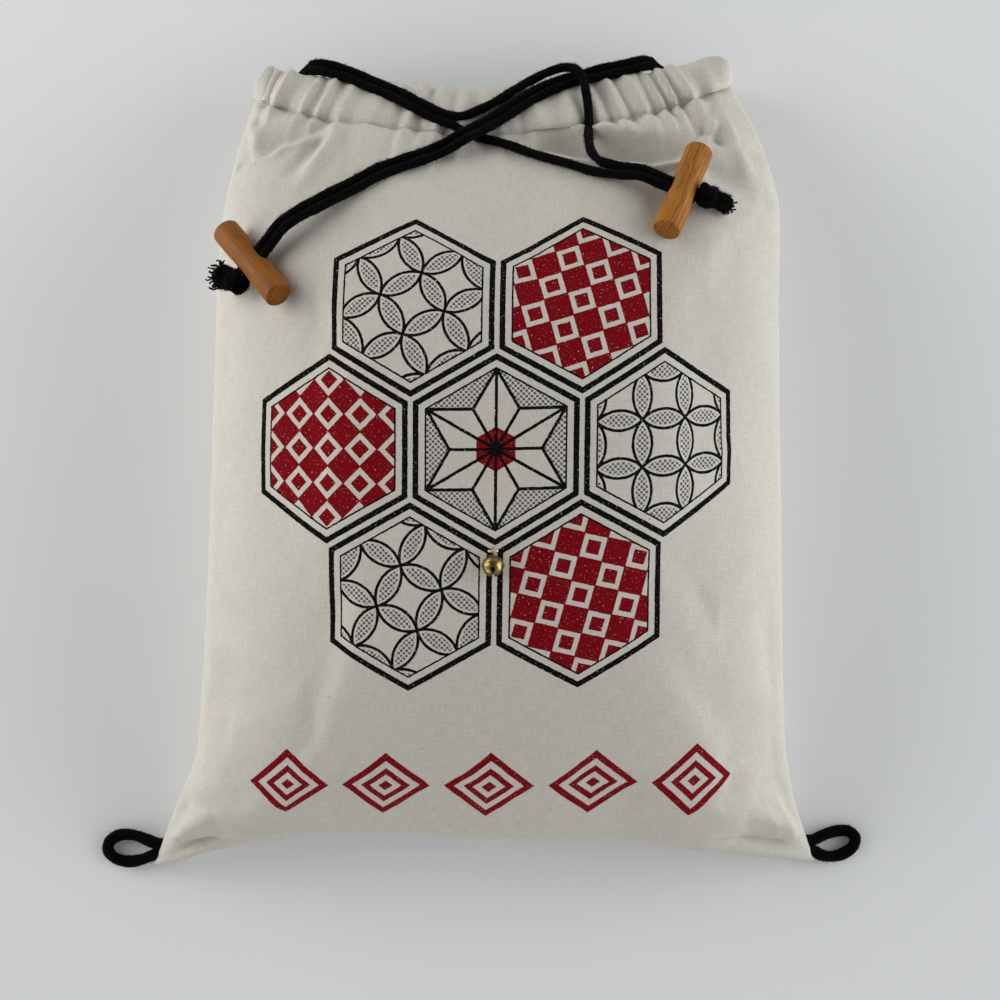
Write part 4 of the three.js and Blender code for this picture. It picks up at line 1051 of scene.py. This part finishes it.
# %% Place of each toggle
TOGGLE, TOGGLE_LENGTH, CORD_PITCH, HOLE_CLEARANCE, KNOT_BEHIND = 13.5, 52.0, 4.4, 0.35, 12.05
TOGGLES = {
    "left": {"centre": (-108.71, 96.86, 90.79), "along": (0.5560, -0.6501, 0.5180),
             "slide": (0.6436, 0.7310, 0.2266), "tassel": (-0.75, 0.3, -0.59), "lean": (0, 0, 0),
             "stick": ((0, 0, 0), 0.0)},
    "right": {"centre": (96.06, 131.15, 91.98), "along": (-0.3509, -0.8034, 0.4810),
              "slide": (-0.9193, 0.3932, -0.0138), "tassel": (0.84, -0.3, -0.45), "lean": (0.3, 2.3, 0),
              "stick": ((31, 12, 0), 0.45)},
}
for spot in TOGGLES.values():
    along, slide = Vector(spot["along"]).normalized(), Vector(spot["slide"]).normalized()
    normal = along.cross(slide)
    turn = Matrix((slide, normal, along)).transposed().to_4x4()
    spot["matrix"] = Matrix.Translation(spot["centre"]) @ turn
    spot["knot"] = Vector(spot["centre"]) - slide * KNOT_BEHIND
ends = [Vector(spot["centre"]) for spot in TOGGLES.values()]
print(round((ends[0] - ends[1]).length), "mm between the toggles")


# %% Beech with its grain
def beech():
    """Oiled beech: warm tan, with darker year lines and the short dark flecks that tell beech from pine.

    Each peg comes from another stick, so "tone" makes the right one paler than the left one.
    """
    material, tree, shader = new_material("oiled_beech")
    grain = add(tree, "Attribute", attribute_name="grain").outputs[1]
    lane = add(tree, "Mapping", {"Vector": grain, "Scale": (0.6, 0.42, 0.014)})
    years = add(tree, "TexNoise", {"Vector": lane, "Scale": 1.6, "Detail": 3, "Distortion": 0.3})
    lines = add(tree, "Math", [years, 26.0], operation="MULTIPLY")
    wave = add(tree, "Math", [lines], operation="SINE")
    dark = add(tree, "MapRange", [wave, 0.35, 1.0, 0.0, 0.85])
    thin = add(tree, "Mapping", {"Vector": grain, "Scale": (2.8, 2.8, 0.3)})
    rays = add(tree, "TexNoise", {"Vector": thin, "Scale": 1.0, "Detail": 2})
    fleck = add(tree, "MapRange", [rays, 0.62, 0.72, 0.0, 0.5])
    cloudy = add(tree, "TexNoise", {"Vector": grain, "Scale": 0.07, "Detail": 2})
    stick = add(tree, "Attribute", attribute_name="tone").outputs[2]
    tone = add(tree, "Math", [cloudy, 0.35, stick], operation="MULTIPLY_ADD")
    base = add(tree, "Mix", {0: tone, 6: "#7f4608", 7: "#b5782a"}, data_type="RGBA")
    lined = add(tree, "Mix", {0: dark, 6: base, 7: "#6a431b"}, data_type="RGBA")
    flecked = add(tree, "Mix", {0: fleck, 6: lined, 7: "#553210"}, data_type="RGBA")
    length = add(tree, "SeparateXYZ", [grain])
    far = add(tree, "Math", [length.outputs[2]], operation="ABSOLUTE")
    end = add(tree, "MapRange", [far, TOGGLE_LENGTH / 2 - 0.7, TOGGLE_LENGTH / 2 - 0.2, 0.0, 0.9])
    flat_place = add(tree, "Mapping", {"Vector": grain, "Scale": (1.0, 1.0, 0.0)})
    pores = add(tree, "TexVoronoi", {"Vector": flat_place, "Scale": 1.5}, feature="F1")
    pore = add(tree, "MapRange", [pores, 0.16, 0.66])
    end_wood = add(tree, "Mix", {0: pore, 6: "#35190a", 7: base}, data_type="RGBA")
    colour = add(tree, "Mix", {0: end, 6: flecked, 7: end_wood}, data_type="RGBA")
    bump = add(tree, "Bump", {"Height": rays, "Strength": 0.35, "Distance": 0.08 * MM})
    fill(tree, shader, {"Base Color": colour, "Normal": bump, "Roughness": 0.48, "Specular IOR Level": 0.16})
    return material


wood = beech()
print(wood.name, len(wood.node_tree.nodes), "nodes")


# %% A lathe and a drill
def cut_away(whole, tools):
    """The first bmesh less the others, as a new bmesh."""
    body = as_object("body", whole)
    cutters = [as_object("cutter", tool) for tool in tools]
    for cutter in cutters:
        cut = body.modifiers.new("cut", "BOOLEAN")
        cut.operation, cut.solver, cut.object = "DIFFERENCE", "EXACT", cutter
    shape = body.evaluated_get(bpy.context.evaluated_depsgraph_get())
    bm = bmesh.new()
    bm.from_mesh(shape.to_mesh())
    shape.to_mesh_clear()
    for obj in [body, *cutters]:
        bpy.data.objects.remove(obj)
    return bm


def spun(profile, steps):
    """A closed shape turned round z from an outline of (radius, height) points that starts and ends on it."""
    bm = bmesh.new()
    verts = [bm.verts.new((r, 0, h)) for r, h in profile]
    edges = [bm.edges.new(pair) for pair in zip(verts, verts[1:])]
    bmesh.ops.spin(bm, geom=verts + edges, cent=(0, 0, 0), axis=(0, 0, 1), dvec=(0, 0, 0), angle=2 * math.pi,
                   steps=steps, use_merge=True, use_duplicate=False)
    bmesh.ops.remove_doubles(bm, verts=bm.verts, dist=1e-4)
    bmesh.ops.recalc_face_normals(bm, faces=bm.faces)
    return bm


trial = spun([(0, 1), (1, 0), (0, -1)], 8)
print("three points spun in 8 steps make", len(trial.faces), "faces")
trial.free()

# %% Outline and hole of a toggle
PEG_EDGE, PEG_WAIST, HOLE_BEVEL = 1.1, 0.5, 0.45


def turned_peg():
    """Its edge is rounded, and its middle is half a millimetre thinner all round."""
    half, radius = TOGGLE_LENGTH / 2, TOGGLE / 2
    edge = [(radius - PEG_EDGE + PEG_EDGE * math.sin(a), half - PEG_EDGE + PEG_EDGE * math.cos(a))
            for a in np.linspace(0, math.pi / 2, 6)]
    waist = [(radius - PEG_WAIST * math.cos(math.pi * h / 34) ** 2, h) for h in (17, 12, 8, 4)]
    upper = [(0, half + 0.06), (2.2, half + 0.04), (4.4, half)] + edge + waist
    return spun(upper + [(radius - PEG_WAIST, 0)] + [(r, -h) for r, h in reversed(upper)], 64)


def drill():
    """A bar with round ends that crosses the peg along x."""
    radius = CORD / 2 + HOLE_CLEARANCE
    bm = bmesh.new()
    bmesh.ops.create_cone(bm, cap_ends=True, segments=32, radius1=radius, radius2=radius, depth=40,
                          matrix=Matrix.Rotation(math.pi / 2, 4, "Y"))
    for v in bm.verts:
        v.co.z += math.copysign(CORD_PITCH / 2, v.co.z)
    return bm


print("the hole is", round(CORD_PITCH + CORD + 2 * HOLE_CLEARANCE, 2), "mm long")

# %% Turn and drill the toggles
for side, spot in TOGGLES.items():
    bm = cut_away(turned_peg(), [drill()])
    rim = [e for e in bm.edges if len(e.link_faces) == 2 and e.calc_face_angle(0) > 0.7
           and abs(e.verts[0].co.z) < CORD_PITCH + 3]
    bmesh.ops.bevel(bm, geom=rim, offset=HOLE_BEVEL, segments=2, profile=0.5, affect="EDGES", material=-1)
    shift, tone = spot["stick"]
    places = [c + d for v in bm.verts for c, d in zip(v.co, shift)]
    bmesh.ops.transform(bm, matrix=spot["matrix"], verts=bm.verts)
    toggle = piece(f"{side}_toggle_beech", bm, f"{side}_toggle", wood, [f"{side}_toggle"])
    attributes = toggle.data.attributes
    attributes.new("grain", "FLOAT_VECTOR", "POINT").data.foreach_set("vector", places)
    attributes.new("tone", "FLOAT", "POINT").data.foreach_set("value", [tone] * (len(places) // 3))
    toggle.data.set_sharp_from_angle(angle=0.6)
    spot["toggle"] = toggle
    print(side, "toggle", len(toggle.data.polygons), "faces")

# %% [markdown]
# ## Knots and frayed ends
# Behind each toggle both strands are tied in one knot, and past it the cord has come undone. A trefoil is
# a closed line that knots itself, so a tube along it looks like a knot from every side. The frayed end is
# a fan of thin yarns on the left, and on the right a short stub that is still together.

# %% Tie the knots
def knot_line(centre, way, size):
    """A trefoil round the way of the cord."""
    way = Vector(way).normalized()
    across = way.orthogonal().normalized()
    up = way.cross(across)
    line = []
    for t in np.linspace(0, 2 * math.pi, 73):
        x = math.sin(t) + 2 * math.sin(2 * t)
        y = math.cos(t) - 2 * math.cos(2 * t)
        z = -1.9 * math.sin(3 * t)
        line.append(Vector(centre) + (across * x + up * y + way * z) * size)
    return np.array(line)


def cloth_top(x, y):
    """Height of the front cloth under a place in plan."""
    s = np.clip((x - middle_of(y)) / half_of(y), -1, 1)
    return float(front_height(s, y)) if abs(s) < 1 else 0.0


KNOT_CORD, KNOT_SIZE, HEART = 2.2, 1.42, 3.4
for side, spot in TOGGLES.items():
    slide = Vector(spot["slide"]).normalized()
    spot["knot"] += Vector(spot["lean"])
    line = knot_line(spot["knot"], slide, KNOT_SIZE)
    bm = bmesh.new()
    tube(bm, line, KNOT_CORD, sides=12, seed=31, lumps=0.07)
    heart = np.array([spot["knot"] + slide * reach for reach in np.linspace(-3.5, 3.5, 9)])
    tube(bm, heart, HEART, sides=12, seed=32, lumps=0.05,
         taper=lambda t: math.sin(math.pi * (0.12 + 0.76 * t)) ** 0.5)
    add_fuzz(bm, line, KNOT_CORD, (600, 200), (7, 8))
    cord_piece(f"{side}_knot_cotton", bm, "bag", f"{side}_toggle_knot")


# %% Fray the ends
def yarn_line(start, way, length, chance, curl):
    """A thin yarn that leaves along way and curls, but stays over the cloth."""
    side = way.cross(Vector((0, 0, 1))).normalized()
    up = side.cross(way)
    waves = [chance.uniform(0, 6.28) for _ in range(3)]
    turns, sag = chance.uniform(5, 9), chance.uniform(0.0, 2.0)
    line = []
    for t in np.linspace(0, 1, 15):
        sway = curl * (math.sin(waves[0] + turns * t) - math.sin(waves[0])) * t**0.5
        rise = 0.8 * curl * (math.cos(waves[0] + turns * t) - math.cos(waves[0])) * t**0.5 - sag * t * t
        at = start + way * length * t + side * sway + up * rise
        at.z = max(at.z, cloth_top(at.x, at.y) + 0.5)
        line.append(at)
    return np.array(line)


FRAYED = {
    "left": {"stub": 8.5, "apart": 2.7, "yarns": 84, "spread": 0.42, "reach": (3.5, 8.5), "curl": 0.95},
    "right": {"stub": 11.0, "apart": 1.5, "yarns": 26, "spread": 0.3, "reach": (1.5, 4.0), "curl": 0.6},
}
for side, spot in TOGGLES.items():
    chance = random.Random(5)
    frayed = FRAYED[side]
    way = Vector(spot["tassel"]).normalized()
    flat_side = way.cross(Vector((0, 0, 1))).normalized()
    flat_up = flat_side.cross(way)
    bm = bmesh.new()
    for k in (-1, 1):
        begin = spot["knot"] + way * 2.5 + flat_side * k * frayed["apart"]
        core = np.array([begin + way * frayed["stub"] * t + flat_side * k * 0.8 * t
                         for t in np.linspace(0, 1, 11)])
        tube(bm, core, 2.45, sides=12, seed=41 + k, lumps=0.1,
             taper=lambda t: 1.0 if t < 0.8 else 1.0 - (t - 0.8) * 2)
        add_fuzz(bm, core, 2.4, (300, 80), (11 + k, 15 + k))
    for k in range(frayed["yarns"]):
        turn, out = chance.uniform(0, 6.28), chance.uniform(0, 1) ** 0.5
        aside, above = out * math.cos(turn), out * math.sin(turn)
        lean = (way + flat_side * frayed["spread"] * aside + flat_up * 0.3 * above).normalized()
        begin = spot["knot"] + way * (2.5 + frayed["stub"] * chance.uniform(0.7, 1.0))
        begin += flat_side * (frayed["apart"] + 2.0) * aside + flat_up * 1.9 * above
        line = yarn_line(begin, lean, chance.uniform(*frayed["reach"]), chance, frayed["curl"])
        tube(bm, line, 0.42, sides=5, seed=k, lumps=0.12)
    cord_piece(f"{side}_frayed_end", bm, "bag", f"{side}_toggle_tassel")

# %% [markdown]
# ## Loops at the bottom corners
# Each bottom corner has a loop of thicker cord, sewn in where the seams meet. It is drawn as the strands
# are, with a section a little wider than it is thick, and its two ends lie side by side in the seam.

# %% Draw the corner loops
LOOPS = {
    "left": [(-163.0, -194.2, 8.6), (-169.5, -194.0, 7.4), (-173.9, -192.8, 5.4), (-181.9, -190.5, 3.4),
             (-189.4, -190.7, 2.9), (-194.3, -194.1, 2.9), (-194.9, -198.9, 2.9), (-190.9, -202.9, 2.9),
             (-183.9, -204.3, 3.1), (-176.9, -202.9, 4.4), (-170.6, -200.2, 6.2), (-164.0, -198.6, 7.6)],
    "right": [(165.5, -192.6, 8.6), (171.8, -192.3, 7.4), (176.4, -190.5, 5.4), (183.8, -188.5, 3.5),
              (190.4, -188.5, 2.9), (194.2, -191.7, 2.9), (193.2, -196.3, 2.9), (188.4, -200.1, 2.9),
              (182.2, -201.7, 3.2), (176.8, -200.9, 4.4), (172.6, -198.6, 6.2), (166.5, -197.0, 7.6)],
}
TABLE_CLEAR = 0.1
for seed, (side, route) in enumerate(LOOPS.items()):
    bm = bmesh.new()
    line = smooth_line(route, 1.2)
    tube(bm, line, 3.0, flat=0.82, seed=50 + seed, lumps=0.05)
    add_fuzz(bm, line, 2.6, (900, 300), (60 + seed, 70 + seed))
    for v in bm.verts:
        v.co.z = max(v.co.z, TABLE_CLEAR)
    name = f"{side}_corner_loop"
    cord_piece(name + "_cotton", bm, name, name)
print(len(LOOPS), "loops")

# %% [markdown]
# ## The bell
# A craft bell is pressed from thin brass in two halves that meet in a small ridge. The lower half has a
# slot that ends in two round holes, to let the sound out, and a loose ball rolls inside. Each half is an
# outline spun round the bell's axis, and drills cut the slot. Handling has left darker, duller patches.

# %% Aged brass
def aged_brass():
    """Brass with tarnish: a metal, so its colour tints the reflection, rougher where it has gone dull."""
    material, tree, shader = new_material("aged_brass")
    place = add(tree, "TexCoord")
    tarnish = add(tree, "TexNoise", {"Vector": place.outputs["Object"], "Scale": 420.0, "Detail": 3})
    amount = add(tree, "MapRange", [tarnish, 0.4, 0.68])
    colour = add(tree, "Mix", {0: amount, 6: "#a8925a", 7: "#5c4d2a"}, data_type="RGBA")
    dull = add(tree, "MapRange", [tarnish, 0.35, 0.7, 0.2, 0.42])
    fill(tree, shader, {"Base Color": colour, "Roughness": dull, "Metallic": 1.0})
    return material


brass = aged_brass()
print(brass.name, len(brass.node_tree.nodes), "nodes")

# %% Place of the bell
BELL, BELL_WALL, SLOT, SLOT_LENGTH, SLOT_HOLE = 10.0, 0.5, 1.1, 7.0, 2.0
BELL_CENTRE, BALL_CENTRE, EYE = (5.9, -46.1, 125.5), (5.9, -48.58, 126.57), Vector((5.9, -39.4, 122.6))
BALL_RADIUS, EYE_RING, EYE_WIRE = 1.5, 1.6, 0.4
tilt = Vector((0, 0.918, -0.397)).normalized()
bell_matrix = Matrix.Translation(BELL_CENTRE) @ Matrix(
    ((1, 0, 0), tilt.cross(Vector((1, 0, 0))), tilt)).transposed().to_4x4()
print("bell of", BELL, "mm")


# %% Press the two halves
def half_bell():
    """Half a hollow ball with a turned-out lip, open at z = 0."""
    angles = np.linspace(math.radians(5), math.pi / 2, 14)[:-1]
    out, inside = BELL / 2, BELL / 2 - BELL_WALL
    outer, inner = [[(r * math.cos(a), r * math.sin(a)) for a in angles] + [(0, r)] for r in (out, inside)]
    lip = [(inside, 0.06), (out + 0.28, 0.06), (out + 0.3, 0.22), (out + 0.12, 0.42)]
    return spun(inner[::-1] + lip + outer, 48)


def slot_drills():
    """A narrow bar and two round drills below the equator."""
    depth = -BELL / 2 - SLOT_HOLE
    bar = bmesh.new()
    bmesh.ops.create_cube(bar, size=1)
    bmesh.ops.scale(bar, vec=(SLOT, SLOT_LENGTH, BELL), verts=bar.verts)
    bmesh.ops.translate(bar, vec=(0, 0, depth), verts=bar.verts)
    drills = [bar]
    for way in (-1, 1):
        hole = bmesh.new()
        bmesh.ops.create_cone(hole, cap_ends=True, segments=20, radius1=SLOT_HOLE / 2, radius2=SLOT_HOLE / 2,
                              depth=BELL, matrix=Matrix.Translation((0, way * SLOT_LENGTH / 2, depth)))
        drills.append(hole)
    return drills


upper = half_bell()
lower = half_bell()
bmesh.ops.rotate(lower, cent=(0, 0, 0), matrix=Matrix.Rotation(math.pi, 3, "X"), verts=lower.verts)
lower = cut_away(lower, slot_drills())
for name, bm in (("upper", upper), ("lower", lower)):
    bmesh.ops.transform(bm, matrix=bell_matrix, verts=bm.verts)
    shell = piece(f"bell_{name}_brass", bm, "bell", brass, [f"bell_{name}_shell"])
    shell.data.set_sharp_from_angle(angle=0.7)
print("two halves")

# %% Eye and ball
ring = [EYE + EYE_RING * Vector((0, math.cos(a), math.sin(a))) for a in np.linspace(0, 2 * math.pi, 33)]
bm = bmesh.new()
tube(bm, np.array(ring), EYE_WIRE, sides=10, lumps=0.0)
piece("bell_eye_brass", bm, "bell", brass, ["bell_eye"])
bm = bmesh.new()
bmesh.ops.create_icosphere(bm, subdivisions=3, radius=BALL_RADIUS, matrix=Matrix.Translation(BALL_CENTRE))
piece("bell_ball", bm, "bell", brass, ["bell_pellet"])
print("an eye of", 2 * EYE_RING, "mm and a ball of", 2 * BALL_RADIUS, "mm")


# %% Tie the bell on
def pale_cotton():
    """Glazed cotton sewing thread, off-white, with its twist as a fine slanting bump and as painted shade in
    its grooves.
    """
    material, tree, shader = new_material("pale_sewing_thread")
    place = add(tree, "UVMap", uv_map="along")
    lanes = add(tree, "SeparateXYZ", [place])
    slant = add(tree, "Math", [lanes.outputs[1], 2.4, lanes], operation="MULTIPLY_ADD")
    rate = add(tree, "Math", [slant, 4.4], operation="MULTIPLY")
    twist = add(tree, "Math", [rate], operation="SINE")
    # The colour follows the twist: darker in its grooves and paler on its ridges, as painted shade and
    # highlight.
    shade = add(tree, "MapRange", [twist, -1.0, 1.0])
    colour = add(tree, "Mix", {0: shade, 6: "#b5ab92", 7: "#e6dfcc"}, data_type="RGBA")
    bump = add(tree, "Bump", {"Height": twist, "Strength": 0.5, "Distance": 0.1 * MM})
    fill(tree, shader, {"Base Color": colour, "Normal": bump, "Roughness": 0.7})
    return material


THREAD, THREAD_APART = 0.27, 0.24
span = [(-1, 0.25), (-0.92, 1.65), (-0.55, 2.4), (0, 2.4), (0.55, 2.4), (0.92, 1.65), (1, 0.25)]
bm = bmesh.new()
for k, shift in enumerate((-THREAD_APART, THREAD_APART)):
    points = [EYE + Vector((2.2 * x, shift + 0.1 * math.sin(3 * x + k), z - 2.4)) for x, z in span]
    tube(bm, smooth_line(points, 0.4), THREAD, sides=8, seed=k)
piece("bell_thread_cotton", bm, "bag", pale_cotton(), ["bell_thread"])
print("two turns of thread", 2 * THREAD, "mm thick")

# %% [markdown]
# ## The casing's stitch line
# The casing is sewn down with one row of stitches, each about 2.3 mm long, in a thread a little browner
# than the cloth. A stitch is a small grain with its ends sunk in the cloth, so one flattened ball is
# doubled into a row and each copy is laid on the sheet's own stitch row.

# %% Sew the stitch line
def dull_thread():
    """Polyester-cotton thread gone a little brown, matt, with no pattern that a picture could show."""
    material, tree, shader = new_material("dull_sewing_thread")
    place = add(tree, "TexCoord")
    uneven = add(tree, "TexNoise", {"Vector": place.outputs["Object"], "Scale": 260.0, "Detail": 2})
    colour = add(tree, "Mix", {0: uneven, 6: "#9c8f76", 7: "#b9ae98"}, data_type="RGBA")
    fill(tree, shader, {"Base Color": colour, "Roughness": 0.8})
    return material


brown_thread = dull_thread()
STITCH_PITCH, STITCH_ENDS = 2.6, 4
STITCH = (1.15, 0.26, 0.22)


def unit(rows):
    """Rows of directions, each of length one."""
    return rows / np.linalg.norm(rows, axis=1)[:, None]


def stitch_row(name, cloth, row, side):
    """Stitches along a row of the sheet's points, flattened and sunk a little into the cloth."""
    line, normals = cloth[row], cloth_normals(cloth)[row] * side
    far = distances(line)
    spots = np.arange(STITCH_ENDS, far[-1] - STITCH_ENDS, STITCH_PITCH)
    at = read_at(spots, far, line)
    way = unit(read_at(spots + 0.6, far, line) - at)
    up = read_at(spots, far, normals)
    up = unit(up - way * (up * way).sum(1)[:, None])
    aside = np.cross(way, up)
    half_length, half_width, half_height = STITCH
    bm = bmesh.new()
    bmesh.ops.create_uvsphere(bm, u_segments=6, v_segments=5, radius=1)
    number = many(bm, len(spots))
    for v in bm.verts:
        n, (x, y, z) = v[number], v.co
        v.co = at[n] + way[n] * half_length * z + aside[n] * half_width * x + up[n] * (half_height * y + 0.06)
    return piece(name, bm, "bag", brown_thread)


front_stitches = stitch_row("front_stitches", front_cloth, ROWS, 1)
back_stitches = stitch_row("back_stitches", back_cloth, BACK_ROWS, -1)
print(len(front_stitches.data.polygons), "faces in the front row")

# %% [markdown]
# ## The free strands
# The four free strands are shown from end to end, so the length of each route is its real length. The loop
# below only reads each strand's side and its line in metres, and does nothing more with them.

for name, strand in strands.items():
    side = name.split("_")[0]
    line = LINES[name] * MM

# %% [markdown]
# ## A table and soft light
# The bag lies on a pale table in a room with windows on two sides, so most light comes in low and the sides
# of the bag are brighter than its top. The world's strength falls from the horizon to the zenith for that,
# and is greatest to the left and right. Two soft lamps, low at the left and right, light the near table
# and the bag's flanks. Their spread is narrow, so that no hot patch lies under them. What the camera sees
# past the table, and what shines through, is a plain pale grey. Metal reflects the room itself, because
# the bell would look flat without its windows.

# %% The table
TABLE_SIZE = 3
bm = bmesh.new()
bmesh.ops.create_grid(bm, x_segments=1, y_segments=1, size=TABLE_SIZE)
table = as_object("table", bm)
laminate, tree, shader = new_material("matt_laminate")
fill(tree, shader, {"Base Color": "#f6f8fa", "Roughness": 1.0, "Specular IOR Level": 0.1})
table.data.materials.append(laminate)
print("table of", 2 * TABLE_SIZE, "m")

# %% Lamps
LAMP_SIZE, LAMP_SPREAD = 0.75, 95
LAMPS = {
    "window": ((-0.86, 0.36, 0.5), 1.2, (1, 0.98, 0.94)),
    "far_window": ((0.92, 0.1, 0.46), 1.05, (0.93, 0.97, 1)),
}
for name, (place, power, colour) in LAMPS.items():
    data = bpy.data.lights.new(name, "AREA")
    data.energy, data.size, data.color, data.spread = power, LAMP_SIZE, colour, math.radians(LAMP_SPREAD)
    lamp = bpy.data.objects.new(name, data)
    lamp.location = place
    lamp.rotation_euler = (Vector((0, 0, 0.05)) - lamp.location).to_track_quat("-Z", "Y").to_euler()
    lamp.visible_camera = False
    bpy.context.collection.objects.link(lamp)
print(len(LAMPS), "lamps")

# %% The room
ZENITH, FAR_WALLS, SIDE_WALLS = 0.145, 0.4, 4.1
world = bpy.data.worlds.new("room")
world.use_nodes = True
tree = world.node_tree
tree.nodes.clear()
upward = add(tree, "SeparateXYZ", [add(tree, "TexCoord").outputs["Generated"]])
low = add(tree, "MapRange", [upward.outputs[2], 0.0, 1.0, 1.0, 0.0])
glow = add(tree, "Math", [low, 2.0], operation="POWER")
sideways = add(tree, "Math", [upward, upward], operation="MULTIPLY")
walls = add(tree, "Math", [sideways, SIDE_WALLS, FAR_WALLS], operation="MULTIPLY_ADD")
strength = add(tree, "Math", [glow, walls, ZENITH], operation="MULTIPLY_ADD")
room = add(tree, "Background", ["#ffffff", strength])
seen = add(tree, "Background", ["#d4d6d8", 1.0])
path = add(tree, "LightPath")
rays = [path.outputs[f"Is {kind} Ray"] for kind in ("Camera", "Transmission")]
looked = add(tree, "Math", rays, operation="MAXIMUM")
add(tree, "OutputWorld", [add(tree, "MixShader", [looked, room, seen])])
bpy.context.scene.world = world
bpy.context.scene.view_settings.view_transform = "Standard"
print("room", len(tree.nodes), "nodes")
